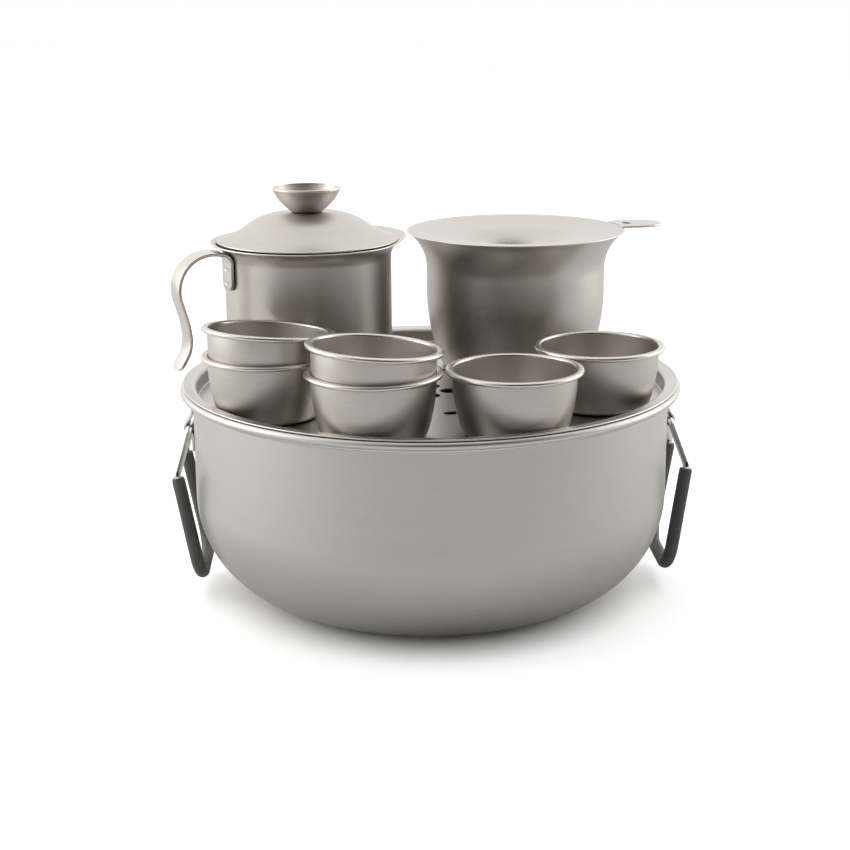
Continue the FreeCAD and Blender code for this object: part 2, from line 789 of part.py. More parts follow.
def bail_wire_inset():
    """From the front of the strap's flat ends to the axis of the wire."""
    return strap_return_bend - strap_thickness / 2


def make_bail_wire():
    """Wire bail in its local frame, hanging down."""
    half = bail_corners()
    points = list(reversed(half)) + mirrored(half)
    radii = [bail_grip_bend, bail_shoulder_bend, bail_axle_bend]
    path = rounded_path(points, radii + radii[::-1])
    return rod(path, bail_wire_radius)


def make_grip_sleeve():
    """Tube over the lower part of the bail, from one shoulder to the other."""
    half = bail_corners()
    shoulder, grip = half[1], half[2]
    came = (shoulder - half[0]).normalize()
    goes = (grip - shoulder).normalize()
    bend_reach = bail_shoulder_bend * math.tan(came.getAngle(goes) / 2)
    top = shoulder + goes * (bend_reach + sleeve_start)
    points = [top, grip] + mirrored([grip, top])
    path = rounded_path(points, [bail_grip_bend, bail_grip_bend])
    outside = rod(path, sleeve_radius)
    return outside.cut(rod(path, bail_wire_radius + sleeve_clearance))


def make_bracket():
    """Strap bent round the bail's axle and spot welded to the pot's wall.

    Local frame as for the bail.  The path is the strap's centre line, from its
    upper end down over the wire to its lower end.
    """
    crown = bail_wire_radius + pivot_clearance + strap_thickness / 2
    flat_x = -bail_wire_inset() - strap_thickness / 2
    slope = math.radians(strap_slope_angle)
    out = crown * math.cos(slope) - flat_x - strap_slope_bend * (1 - math.cos(slope))
    slope_run = out / math.sin(slope)
    top = crown * math.sin(slope) + slope_run * math.cos(slope)
    top += strap_slope_bend * math.sin(slope) + strap_upper_length
    moves = [run(strap_upper_length), bend(strap_slope_bend, strap_slope_angle)]
    moves += [run(slope_run), bend(crown, -90 - strap_slope_angle)]
    moves += [bend(strap_return_bend, 90), run(strap_lower_length)]
    half = strap_thickness / 2
    section = bent_section((flat_x, top), -90.0, moves, half, half)
    section.translate(Vector(0, -strap_width / 2, 0))
    strap = section.extrude(Vector(0, strap_width, 0))
    low = -crown - strap_return_bend - strap_lower_length / 2
    high = top - strap_upper_length / 2
    dots = []
    for height in (low, high):
        for side in (-1, 1):
            centre = Vector(flat_x + half, side * strap_dot_offset, height)
            dots.append(weld_dot(centre, Vector(1, 0, 0)))
    return strap.cut(dots)


# ------------------------------------------------------------ assembly ----
def build():
    """All pieces by name, each in its place."""
    pieces = {"pot": make_pot(), "tray": make_tray()}

    sides = (("right", bail_azimuth, right_bail_swing), ("left", bail_azimuth + 180, 0.0))
    for side, azimuth, swing in sides:
        pieces[side + "_bail_bracket"] = place_on_pot(make_bracket(), azimuth)
        pieces[side + "_bail_wire"] = place_on_pot(make_bail_wire(), azimuth, swing)
        pieces[side + "_grip_sleeve"] = place_on_pot(make_grip_sleeve(), azimuth, swing)

    first, second, third, fourth = cup_places()
    pieces["cup_left_lower"] = standing_cup(first)
    pieces["cup_left_upper"] = stacked_cup(first, first_stack_lean, first_stack_lean_azimuth)
    pieces["cup_middle_lower"] = standing_cup(second)
    pieces["cup_middle_upper"] = stacked_cup(second, second_stack_lean,
                                             second_stack_lean_azimuth)
    pieces["cup_front"] = standing_cup(third)
    pieces["cup_right"] = standing_cup(fourth)

    from_cup = teapot_radius + cup_bead_radius + teapot_gap
    teapot_place = first + direction(teapot_bearing) * from_cup
    teapot = {"teapot_body": make_teapot_body(), "teapot_handle": make_handle(),
              "teapot_lid": make_lid(), "lid_knob": make_knob(),
              "knob_rivet": make_knob_rivet()}
    for name, shape in teapot.items():
        shape.translate(teapot_place)
        pieces[name] = shape

    from_teapot = teapot_rim_radius(jug_bearing) + jug_gap + strainer_radius
    jug_place = teapot_place + direction(jug_bearing) * from_teapot
    jug = {"pouring_jug": make_jug(), "jug_strainer": make_strainer()}
    for name, shape in jug.items():
        shape.translate(jug_place)
        pieces[name] = shape
    return pieces


os.makedirs("parts", exist_ok=True)
for name, shape in build().items():
    shape.exportStep(os.path.join("parts", name + ".step"))
    print("%-18s solids %d  faces %3d  volume %9.1f mm3  valid %s" % (
        name, len(shape.Solids), len(shape.Faces), shape.Volume, shape.isValid()))
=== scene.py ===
# %% [markdown]
# # A camping cook pot set
#
# The set is thin titanium sheet, drawn and spun into round ware: a cook pot with
# two folding bails, a drain tray on its rim, and on the tray a teapot, a pouring
# jug with a strainer and six cups.  The frame that is loaded here holds every
# piece at its real size and says which body it moves with.  This file gives the
# pieces their finish: smooth turned surfaces, rounded edges and worn metal.

import math

import bpy
import numpy as np
from mathutils import Matrix, Vector


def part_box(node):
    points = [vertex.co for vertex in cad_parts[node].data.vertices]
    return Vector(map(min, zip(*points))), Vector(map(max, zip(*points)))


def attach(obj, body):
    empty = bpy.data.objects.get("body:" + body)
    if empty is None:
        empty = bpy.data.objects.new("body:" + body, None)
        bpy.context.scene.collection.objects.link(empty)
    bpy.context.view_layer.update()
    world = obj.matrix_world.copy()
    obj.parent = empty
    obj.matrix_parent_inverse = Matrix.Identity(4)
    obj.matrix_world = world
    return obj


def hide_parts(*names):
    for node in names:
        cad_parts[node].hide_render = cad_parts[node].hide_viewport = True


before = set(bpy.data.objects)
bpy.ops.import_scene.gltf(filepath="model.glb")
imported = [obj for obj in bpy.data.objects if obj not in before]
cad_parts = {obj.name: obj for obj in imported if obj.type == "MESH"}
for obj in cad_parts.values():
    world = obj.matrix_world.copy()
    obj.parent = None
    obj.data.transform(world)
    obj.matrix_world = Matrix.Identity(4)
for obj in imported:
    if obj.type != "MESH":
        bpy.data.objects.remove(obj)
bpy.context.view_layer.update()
print("nodes in the frame:", len(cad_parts))

# %% [markdown]
# ## Units and places
#
# Sheet metal is measured in millimetres, so the shapes below are too, and one
# factor brings them into the scene's metres.  A piece stands where the frame has
# its node, so its axis and its base are read from the node's box.

# %% Places of the pieces
MM = 0.001


def axis_of(node):
    """Centre of a round node seen from above, in mm."""
    low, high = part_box(node)
    return np.array([(low.x + high.x) / 2, (low.y + high.y) / 2]) / MM


def base_of(node):
    """Lowest level of a node, in mm."""
    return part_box(node)[0].z / MM


tray_floor = base_of("cup_front")
teapot_axis = axis_of("knob_rivet")
jug_axis = axis_of("pouring_jug")
print("tray floor %.1f mm, teapot at %s, jug at %s" % (
    tray_floor, teapot_axis.round(1), jug_axis.round(1)))

# %% [markdown]
# ## The path of a sheet
#
# Drawn ware has one secret: its outline is a line that only runs straight or
# bends.  A cup is "run, bend, bend, run", then a rolled rim.  So a piece is
# written as such a list of moves, and its outline is the running sum of short
# chords along them.  The sheet's other face keeps a fixed distance to the left
# or right, and a half circle closes the lip.

# %% Moves, path and outline
def run(length):
    """A straight stretch of a path, in mm."""
    return (length, 0.0, 0.0)


def bend(radius, angle):
    """A round stretch of a path: radius in mm, turn in degrees, left positive."""
    return (0.0, radius, angle)


def trace(start, heading, moves, fine=4.0):
    """Points and headings along a path in a plane, both as arrays.

    A bend of n chords turns by angle / n at each of them, and every chord is
    2 R sin(turn / 2) long.  A chord points half a turn past the heading before
    it, and the points are the running sum of the chords.
    """
    chords, turns = [], []
    for length, radius, angle in moves:
        if radius == 0.0:
            short = min(0.4, length / 4)
            chords.append(np.array([short, length - 2 * short, short]))
            turns.append(np.zeros(3))
            continue
        count = int(abs(angle) / fine) + 2
        turn = math.radians(angle) / count
        chords.append(np.full(count, 2 * radius * abs(math.sin(turn / 2))))
        turns.append(np.full(count, turn))
    chords, turns = np.concatenate(chords), np.concatenate(turns)
    after = math.radians(heading) + np.cumsum(turns)
    along = after - turns / 2
    steps = chords[:, None] * np.stack([np.cos(along), np.sin(along)], 1)
    points = np.vstack([[start], np.array(start) + np.cumsum(steps, 0)])
    return points, np.concatenate([[math.radians(heading)], after])


def sheet_outline(start, heading, moves, left, right=0.0, bead=None):
    """Outline of a sheet in its cut plane, as points (radius, height) and sides.

    It follows the sheet's right face out, goes round the lip on a circle of
    radius `bead` and comes back along the left face.  A side is 0 on the right
    face and 1 on the left one.
    """
    points, headings = trace(start, heading, moves)
    normals = np.stack([-np.sin(headings), np.cos(headings)], 1)
    right_face, left_face = points - right * normals, points + left * normals
    half = (left + right) / 2
    radius = bead or half
    open_angle = math.pi - math.asin(min(1.0, half / radius)) if bead else math.pi / 2
    count = 25 if bead else 9
    round_lip = headings[-1] + np.linspace(-open_angle, open_angle, count)[1:-1]
    middle = (right_face[-1] + left_face[-1]) / 2
    lip = middle + radius * np.stack([np.cos(round_lip), np.sin(round_lip)], 1)
    outline = np.vstack([right_face, lip, left_face[::-1]])
    sides = np.concatenate([np.zeros(len(points)), np.linspace(0, 1, len(lip)),
                            np.ones(len(points))])
    return outline, sides


def rolled_rim(sheet, bead_height, bead_reach, gap=0.3):
    """Moves that roll the top of an upright wall outwards into a bead."""
    inside = bead_height / 2 - sheet
    flat = bead_reach + sheet - bead_height
    underside = bead_reach - bead_height / 2 - gap
    return [bend(inside, -90), run(flat), bend(inside, -180), run(underside)]


def bowed_side(radius, height, corner, curve):
    """Moves for a flat base, a corner and a bowed side that ends upright."""
    lean = math.acos((height - corner) / (curve - corner))
    base = radius - corner * math.sin(lean) - curve * (1 - math.sin(lean))
    degrees = math.degrees(lean)
    return [run(base), bend(corner, degrees), bend(curve, 90 - degrees)]


# %% [markdown]
# ## From an outline to a mesh
#
# A turned piece is a function of two parameters: the place on the outline and
# the angle round the axis.  The whole grid is worked out at once, and the mesh
# takes the finished arrays.  Each piece also stores two things that its finish
# reads later: a UV map that counts millimetres along the sheet, and how sharply
# the surface bends there, because that is where metal wears bright.

# %% Grid surfaces
AROUND = 240


def smooth_step(values, low, high):
    """0 below `low`, 1 above `high`, and a smooth S between them."""
    share = np.clip((values - low) / (high - low), 0, 1)
    return share * share * (3 - 2 * share)


def grid_quads(rows, columns, closed_rows=False):
    """Corner numbers of the quads of a grid whose columns close on themselves."""
    count = rows if closed_rows else rows - 1
    row, column = np.meshgrid(np.arange(count), np.arange(columns), indexing="ij")
    below, above = row * columns, (row + 1) % rows * columns
    beside = (column + 1) % columns
    corners = [below + column, below + beside, above + beside, above + column]
    return np.stack(corners, -1).reshape(-1, 4)


def grid_uv(along, columns, closed_length=None):
    """UV corners of those quads: U goes round once, V counts mm along."""
    ends = np.append(along, closed_length) if closed_length else along
    row, column = np.meshgrid(np.arange(len(ends) - 1), np.arange(columns), indexing="ij")
    u = np.stack([column, column + 1, column + 1, column], -1) / columns
    v = np.stack([ends[row], ends[row], ends[row + 1], ends[row + 1]], -1)
    return np.stack([u, v], -1).reshape(-1, 2)


def lengths_along(points):
    """Distance along a line of points, from its first one."""
    steps = np.linalg.norm(np.diff(points, axis=0), axis=1)
    return np.concatenate([[0.0], np.cumsum(steps)])


def sharpness(outline):
    """How tightly an outline bends outwards at each point, per mm.

    That is the turn between its two neighbouring chords over their mean length.
    """
    steps = np.diff(outline, axis=0)
    way = np.unwrap(np.arctan2(steps[:, 1], steps[:, 0]))
    size = np.linalg.norm(steps, axis=1)
    bends = np.zeros(len(outline))
    bends[1:-1] = np.diff(way) / ((size[1:] + size[:-1]) / 2)
    return bends


def new_piece(name, points, quads, others, uv, edge):
    """Mesh object from arrays of points in mm, faces, UV corners and edge wear."""
    mesh = bpy.data.meshes.new(name)
    mesh.from_pydata((points * MM).tolist(), [], quads.tolist() + others)
    mesh.uv_layers.new(name="sheet").data.foreach_set("uv", uv.astype(np.float32).ravel())
    wear = mesh.attributes.new("edge", "FLOAT", "POINT")
    wear.data.foreach_set("value", edge.astype(np.float32))
    mesh.shade_smooth()
    mesh.set_sharp_from_angle(angle=math.radians(40))
    piece = bpy.data.objects.new(name, mesh)
    bpy.context.scene.collection.objects.link(piece)
    return piece


def place(points, azimuth=0.0, centre=(0.0, 0.0), base=0.0):
    """Turn points about the upright axis, then move them to their place."""
    turn = math.radians(azimuth)
    c, s = math.cos(turn), math.sin(turn)
    x, y, z = points.T
    return np.stack([c * x - s * y + centre[0], s * x + c * y + centre[1], z + base], 1)


def turned(name, outline, shape=None, move=None, around=AROUND):
    """Piece turned about the upright axis from an outline that starts and ends on it.

    A point of the outline at radius r and height h goes to
    (r cos a, r sin a, h) for every angle a.  `shape` may change r and h over
    the grid, and `move` carries the finished points to their place.
    """
    angles = np.arange(around) * 2 * math.pi / around
    rows = outline[1:-1]
    radius = np.repeat(rows[:, :1], around, 1)
    height = np.repeat(rows[:, 1:], around, 1)
    if shape:
        radius, height = shape(radius, height, angles)
    grid = np.stack([radius * np.cos(angles), radius * np.sin(angles), height], -1)
    poles = np.array([[0, 0, outline[0, 1]], [0, 0, outline[-1, 1]]])
    points = np.vstack([grid.reshape(-1, 3), poles])
    quads = grid_quads(len(rows), around)
    along = lengths_along(outline)
    first, last = len(rows) * around, len(rows) * around + 1
    column = np.arange(around)
    beside = (column + 1) % around
    top = (len(rows) - 1) * around
    fans = np.vstack([np.stack([beside, column, np.full(around, first)], 1),
                      np.stack([top + column, top + beside, np.full(around, last)], 1)])
    left, right = column / around, (column + 1) / around
    low = np.full(around, along[1])
    high = np.full(around, along[-2])
    ends = [np.stack([right, low, left, low, (left + right) / 2, 0 * low], 1),
            np.stack([left, high, right, high, (left + right) / 2,
                      0 * low + along[-1]], 1)]
    uv = np.vstack([grid_uv(along[1:-1], around), np.vstack(ends).reshape(-1, 2)])
    worn = smooth_step(sharpness(outline), 0.25, 1.2)
    edge = np.append(np.repeat(worn[1:-1], around), [0, 0])
    if move:
        points = move(points)
    return new_piece(name, points, quads, fans.tolist(), uv, edge)


def dress(piece, body, slot, material, *nodes):
    """Let a piece ride on a body and stand for its nodes, in one finish."""
    piece.data.materials.append(material)
    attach(piece, body)
    if nodes:
        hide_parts(*nodes)
    print("%-18s %6d faces" % (piece.name, len(piece.data.polygons)))
    return piece


# %% [markdown]
# ## What the metal looks like
#
# The ware is bead blasted after forming: a fine even grain that scatters light,
# so highlights are wide and soft.  Three things keep it from looking like grey
# plastic.  Forming leaves faint rings round the axis.  Handling leaves patches
# where the grain is a little smoother.  And every lip and bead is rubbed bright.
# Each of these is one node group, used by every metal with its own strength.
# A fourth group paints shade into the colour where two sheets meet: painted shade.

# %% Node helpers
def new_group(name, inputs, outputs):
    """Empty shader node group with named float inputs and outputs."""
    group = bpy.data.node_groups.new(name, "ShaderNodeTree")
    for label, value in inputs.items():
        socket = group.interface.new_socket(label, in_out="INPUT", socket_type="NodeSocketFloat")
        socket.default_value = value
    for label in outputs:
        group.interface.new_socket(label, in_out="OUTPUT", socket_type="NodeSocketFloat")
    source = group.nodes.new("NodeGroupInput")
    target = group.nodes.new("NodeGroupOutput")
    return group, source, target


def node(tree, kind, **settings):
    """New node with its settings, where a socket's name may also be set."""
    made = tree.nodes.new(kind)
    for key, value in settings.items():
        if hasattr(made, key):
            setattr(made, key, value)
        else:
            made.inputs[key.replace("_", " ")].default_value = value
    return made


def maths(tree, operation, first, second=None):
    """Math node whose two inputs are sockets or numbers; gives its output."""
    made = tree.nodes.new("ShaderNodeMath")
    made.operation = operation
    for index, value in enumerate((first, second)):
        if value is None:
            continue
        if isinstance(value, (int, float)):
            made.inputs[index].default_value = value
        else:
            tree.links.new(value, made.inputs[index])
    return made.outputs[0]


def ramp(tree, value, low, high):
    """Map a value from low..high to 0..1 and cut it off outside."""
    made = node(tree, "ShaderNodeMapRange", interpolation_type="SMOOTHSTEP")
    made.inputs["From Min"].default_value = low
    made.inputs["From Max"].default_value = high
    tree.links.new(value, made.inputs["Value"])
    return made.outputs["Result"]


def noise(tree, vector, scale, detail=2.0, roughness=0.5):
    """Noise value over a vector; the scale counts bumps per metre."""
    made = node(tree, "ShaderNodeTexNoise", Scale=scale, Detail=detail, Roughness=roughness)
    tree.links.new(vector, made.inputs["Vector"])
    return made.outputs[0]


# %% Blasted grain
grain_group, source, target = new_group("blasted_grain", {"Size": 1.0}, ["Height", "Speckle"])
where = grain_group.nodes.new("ShaderNodeTexCoord").outputs["Object"]
fine = noise(grain_group, where, 5200.0, 1.0)
coarse = noise(grain_group, where, 1500.0, 2.0)
mixed = maths(grain_group, "ADD", maths(grain_group, "MULTIPLY", fine, 0.6),
              maths(grain_group, "MULTIPLY", coarse, 0.4))
grain_group.links.new(maths(grain_group, "MULTIPLY", mixed, source.outputs["Size"]),
                      target.inputs["Height"])
grain_group.links.new(ramp(grain_group, coarse, 0.42, 0.72), target.inputs["Speckle"])
print("grain group:", len(grain_group.nodes), "nodes")

# %% Forming rings
# A slow noise over the length along the sheet, with hardly any change round it.
ring_group, source, target = new_group("forming_rings", {"Spacing": 1.0}, ["Rings"])
sheet_uv = node(ring_group, "ShaderNodeUVMap", uv_map="sheet")
parts = ring_group.nodes.new("ShaderNodeSeparateXYZ")
ring_group.links.new(sheet_uv.outputs[0], parts.inputs[0])
joined = ring_group.nodes.new("ShaderNodeCombineXYZ")
around_turn = maths(ring_group, "MULTIPLY", parts.outputs[0], 2 * math.pi)
slow = 0.35
ring_group.links.new(maths(ring_group, "MULTIPLY", maths(ring_group, "COSINE", around_turn), slow),
                     joined.inputs[0])
ring_group.links.new(maths(ring_group, "MULTIPLY", maths(ring_group, "SINE", around_turn), slow),
                     joined.inputs[1])
ring_group.links.new(maths(ring_group, "DIVIDE", parts.outputs[1], source.outputs["Spacing"]),
                     joined.inputs[2])
ring_group.links.new(noise(ring_group, joined.outputs[0], 1.0, 3.0, 0.6), target.inputs["Rings"])

# %% Handling marks and worn edges
wear_group, source, target = new_group("wear", {"Amount": 1.0}, ["Edge", "Handled"])
where = wear_group.nodes.new("ShaderNodeTexCoord").outputs["Object"]
edge = node(wear_group, "ShaderNodeAttribute", attribute_name="edge")
broken = maths(wear_group, "ADD", maths(wear_group, "MULTIPLY", noise(wear_group, where, 260.0), 0.7),
               0.65)
rubbed = maths(wear_group, "MULTIPLY", edge.outputs["Fac"], broken)
wear_group.links.new(maths(wear_group, "MULTIPLY", rubbed, source.outputs["Amount"]),
                     target.inputs["Edge"])
patches = ramp(wear_group, noise(wear_group, where, 22.0, 3.0, 0.6), 0.35, 0.75)
wear_group.links.new(patches, target.inputs["Handled"])


# %% Painted shade in crevices
# Where two sheets meet there is hardly any way out for light, so the colour there
# is painted dark: painted shade.  The mask is 1 in such a place and 0 on any face
# or corner that is open to the room.
painted_shade_group, source, target = new_group("painted_crevice_shade", {"Amount": 1.0}, ["Closed"])
opening = node(painted_shade_group, "ShaderNodeAmbientOcclusion", samples=8, Distance=0.0012)
painted_shade_mask = maths(painted_shade_group, "SUBTRACT", 1.0, ramp(painted_shade_group, opening.outputs["AO"], 0.08, 0.42))
painted_shade_group.links.new(maths(painted_shade_group, "MULTIPLY", painted_shade_mask, source.outputs["Amount"]),
                        target.inputs["Closed"])


# %% Metal and silicone
def add_group(tree, group, **values):
    """Place a node group in a material with its own values."""
    made = tree.nodes.new("ShaderNodeGroup")
    made.node_tree = group
    for label, value in values.items():
        made.inputs[label].default_value = value
    return made.outputs


def blend_colour(tree, share, first, second):
    """Mix node between two colours, or a colour socket and a colour."""
    made = node(tree, "ShaderNodeMix", data_type="RGBA")
    tree.links.new(share, made.inputs["Factor"])
    for label, value in (("A", first), ("B", second)):
        socket = [s for s in made.inputs if s.name == label and s.type == "RGBA"][0]
        if isinstance(value, tuple):
            socket.default_value = (*value, 1)
        else:
            tree.links.new(value, socket)
    return [s for s in made.outputs if s.type == "RGBA"][0]


def new_material(name, **settings):
    """Material with one Principled BSDF; settings go to its sockets."""
    made = bpy.data.materials.new(name)
    made.use_nodes = True
    shader = made.node_tree.nodes["Principled BSDF"]
    for label, value in settings.items():
        shader.inputs[label.replace("_", " ")].default_value = value
    return made, made.node_tree, shader


def blasted_metal(name, colour, roughness, rings, spacing, grain, painted_shade_amount):
    """Bead-blasted sheet: soft grain, faint rings, smoother patches, bright edges, and painted shade
    in crevices.
    """
    made, tree, shader = new_material(name, Metallic=1.0)
    grains = add_group(tree, grain_group, Size=1.0)
    ring = add_group(tree, ring_group, Spacing=spacing)["Rings"]
    worn = add_group(tree, wear_group, Amount=1.0)
    painted_shade_mask = add_group(tree, painted_shade_group, Amount=painted_shade_amount)["Closed"]
    dark = tuple(0.90 * c for c in colour)
    bright = tuple(min(1.0, 1.22 * c) for c in colour)
    # Painted shade: where the crevice mask is closed, the colour goes to this dark tone.
    painted_crevice_shade = tuple(0.12 * c for c in colour)
    body = blend_colour(tree, maths(tree, "MULTIPLY", grains["Speckle"], 0.35), colour, dark)
    body = blend_colour(tree, maths(tree, "MULTIPLY", ramp(tree, ring, 0.35, 0.75), rings), body, dark)
    body = blend_colour(tree, maths(tree, "MULTIPLY", worn["Edge"], 0.8), body, bright)
    body = blend_colour(tree, painted_shade_mask, body, painted_crevice_shade)
    tree.links.new(body, shader.inputs["Base Color"])
    smoother = maths(tree, "MULTIPLY", worn["Handled"], -0.05)
    polished = maths(tree, "MULTIPLY", worn["Edge"], -0.14)
    ringed = maths(tree, "MULTIPLY", maths(tree, "SUBTRACT", ring, 0.5), 0.12 * rings)
    total = maths(tree, "ADD", maths(tree, "ADD", smoother, polished),
                  maths(tree, "ADD", ringed, roughness))
    tree.links.new(total, shader.inputs["Roughness"])
    height = maths(tree, "ADD", grains["Height"], maths(tree, "MULTIPLY", ring, 1.5 * rings))
    bump = node(tree, "ShaderNodeBump", Strength=0.35, Distance=grain)
    tree.links.new(height, bump.inputs["Height"])
    tree.links.new(bump.outputs[0], shader.inputs["Normal"])
    return made


# The last number of each metal is the strength of its painted shade in crevices.
pot_metal = blasted_metal("pot_titanium", (0.598, 0.574, 0.538), 0.47, 0.16, 2.2, 0.00002, 1.0)
ware_metal = blasted_metal("ware_titanium", (0.598, 0.557, 0.516), 0.43, 0.30, 1.1, 0.00003, 0.5)
tray_metal = blasted_metal("tray_titanium", (0.580, 0.556, 0.527), 0.40, 0.45, 1.6, 0.00003, 1.0)

wire_metal, tree, shader = new_material("bright_wire", Metallic=1.0)
worn = add_group(tree, wear_group, Amount=1.0)
along = add_group(tree, ring_group, Spacing=0.7)["Rings"]
tree.links.new(blend_colour(tree, along, (0.78, 0.77, 0.75), (0.88, 0.87, 0.85)),
               shader.inputs["Base Color"])
tree.links.new(maths(tree, "ADD", maths(tree, "MULTIPLY", worn["Handled"], 0.08), 0.10),
               shader.inputs["Roughness"])

silicone, tree, shader = new_material("grip_silicone", Metallic=0.0)
grains = add_group(tree, grain_group, Size=1.0)
worn = add_group(tree, wear_group, Amount=1.0)
tree.links.new(blend_colour(tree, worn["Handled"], (0.080, 0.080, 0.077), (0.110, 0.110, 0.105)),
               shader.inputs["Base Color"])
tree.links.new(maths(tree, "ADD", maths(tree, "MULTIPLY", grains["Speckle"], 0.12), 0.50),
               shader.inputs["Roughness"])
bump = node(tree, "ShaderNodeBump", Strength=0.3, Distance=0.00004)
tree.links.new(grains["Height"], bump.inputs["Height"])
tree.links.new(bump.outputs[0], shader.inputs["Normal"])
print("materials:", sorted(m.name for m in bpy.data.materials))

# %% [markdown]
# ## The cook pot
#
# One sheet, drawn deep.  The wall is straight, the bend to the base is as large
# as half the pot's height, and the mouth steps out a little before the rim is
# rolled over into a bead.  The rolled rim stiffens the mouth and hides the cut
# edge, so the outline really goes round and back under it.

# %% Pot
POT_SHEET, POT_RADIUS, POT_HEIGHT, POT_CORNER = 0.7, 89.7, 82.4, 40.0
POT_BEAD_HEIGHT, POT_BEAD_REACH = 3.1, 4.6
POT_STEP, POT_STEP_RADIUS, POT_STEP_DROP = 0.35, 0.75, 5.0


def pot_moves():
    """Base, large bend, wall, stepped mouth and rolled rim."""
    angle = math.degrees(math.acos(1 - POT_STEP / (2 * POT_STEP_RADIUS)))
    step_height = 2 * POT_STEP_RADIUS * math.sin(math.radians(angle))
    foot = POT_HEIGHT - POT_STEP_DROP
    top = POT_HEIGHT - POT_BEAD_HEIGHT / 2
    moves = [run(POT_RADIUS - POT_CORNER), bend(POT_CORNER, 90), run(foot - POT_CORNER)]
    moves += [bend(POT_STEP_RADIUS, -angle), bend(POT_STEP_RADIUS, angle)]
    moves += [run(top - foot - step_height)]
    return moves + rolled_rim(POT_SHEET, POT_BEAD_HEIGHT, POT_BEAD_REACH - POT_STEP)


pot_outline, sides = sheet_outline((0, 0), 0.0, pot_moves(), POT_SHEET)
pot = turned("cook_pot", pot_outline, around=320)
dress(pot, "pot_body", "titanium", pot_metal, "pot")

# %% [markdown]
# ## Holes
#
# A hole is the one thing that a turned surface can't have.  So each hole is a
# small prism of its own, all of them are one mesh, and a Boolean modifier takes
# them out.  The result is applied, so the piece ends as a plain mesh.

# %% Prisms and drilling
def prisms(name, outlines, low, high):
    """One mesh of upright prisms over closed outlines of equal point counts."""
    count = len(outlines[0])
    step = np.arange(count)
    beside = (step + 1) % count
    walls = np.stack([step, beside, beside + count, step + count], 1)
    points, faces = [], []
    for index, outline in enumerate(outlines):
        for level in (low, high):
            points.append(np.column_stack([outline, np.full(count, level)]))
        first = 2 * count * index
        faces += (walls + first).tolist()
        faces += [(step[::-1] + first).tolist(), (step + count + first).tolist()]
    mesh = bpy.data.meshes.new(name)
    mesh.from_pydata((np.vstack(points) * MM).tolist(), [], faces)
    cutter = bpy.data.objects.new(name, mesh)
    bpy.context.scene.collection.objects.link(cutter)
    return cutter


def drill(piece, cutter):
    """Take a cutter out of a piece for good, and delete the cutter."""
    cut = piece.modifiers.new("cut", "BOOLEAN")
    cut.operation, cut.solver, cut.object = "DIFFERENCE", "EXACT", cutter
    graph = bpy.context.evaluated_depsgraph_get()
    finished = bpy.data.meshes.new_from_object(piece.evaluated_get(graph))
    piece.modifiers.clear()
    before, piece.data = piece.data, finished
    finished.set_sharp_from_angle(angle=math.radians(40))
    bpy.data.meshes.remove(before)
    bpy.data.objects.remove(cutter)
    finished.name = piece.name


def circle(radius, centre=(0.0, 0.0), count=28):
    """Points of a circle, counted against the clock."""
    angles = np.arange(count) * 2 * math.pi / count
    return np.stack([np.cos(angles), np.sin(angles)], 1) * radius + centre


def on_ring(azimuth, ring):
    """Point of a ring round the origin."""
    return ring * np.array([math.cos(math.radians(azimuth)), math.sin(math.radians(azimuth))])


# %% [markdown]
# ## The drain tray
#
# A shallow pan whose flat flange lies on the pot's rim.  Four round holes in the
# middle and eight curved slots let spilled tea run into the pot.

# %% Tray
TRAY_SHEET, TRAY_CLEARANCE, TRAY_CORNER, TRAY_ROLL = 0.6, 0.4, 1.4, 1.9
TRAY_SETBACK, EDGE_CURL, EDGE_ANGLE = 0.8, 6.0, 15.0
DRAIN_RADIUS, DRAIN_RING, DRAIN_COUNT = 3.8, 7.5, 4
SLOT_WIDTH, SLOT_RING, SLOT_COUNT, SLOT_LAND = 4.4, 35.0, 8, 22.4


def slot_outline(middle):
    """Curved slot with round ends: two arcs of a ring and two half circles."""
    half = (360 / SLOT_COUNT - SLOT_LAND) / 2
    turn = np.radians(np.linspace(-half, half, 17))
    outer = np.stack([np.cos(turn), np.sin(turn)], 1) * (SLOT_RING + SLOT_WIDTH / 2)
    inner = np.stack([np.cos(turn), np.sin(turn)], 1) * (SLOT_RING - SLOT_WIDTH / 2)
    ends = []
    for side in (1, -1):
        way = np.radians(side * half) + np.linspace(0, side * math.pi, 11)[1:-1]
        ends.append(on_ring(side * half, SLOT_RING)
                    + np.stack([np.cos(way), np.sin(way)], 1) * (SLOT_WIDTH / 2))
    outline = np.vstack([outer, ends[0], inner[::-1], ends[1][::-1]])
    flat = np.column_stack([outline, np.zeros(len(outline))])
    return place(flat, middle)[:, :2]


tray_wall = POT_RADIUS - POT_SHEET - TRAY_CLEARANCE
tray_underside = tray_floor - TRAY_SHEET
roll = TRAY_ROLL - TRAY_SHEET
flange_edge = POT_RADIUS + POT_BEAD_REACH - TRAY_SETBACK - TRAY_SHEET / 2
tray_moves = [run(tray_wall - TRAY_CORNER), bend(TRAY_CORNER, 90),
              run(POT_HEIGHT - roll - tray_underside - TRAY_CORNER), bend(roll, -90),
              run(flange_edge - tray_wall - roll - EDGE_CURL * math.sin(math.radians(EDGE_ANGLE))),
              bend(EDGE_CURL, EDGE_ANGLE)]
tray_outline, sides = sheet_outline((0, tray_underside), 0.0, tray_moves, TRAY_SHEET)
tray = turned("drain_tray", tray_outline, around=320)
drains = [circle(DRAIN_RADIUS, on_ring(90 * k, DRAIN_RING), 44) for k in range(DRAIN_COUNT)]
slots = [slot_outline((k + 0.5) * 360 / SLOT_COUNT) for k in range(SLOT_COUNT)]
for name, outlines in (("drains", drains), ("slots", slots)):
    drill(tray, prisms(name, outlines, tray_underside - 1, tray_floor + 1))
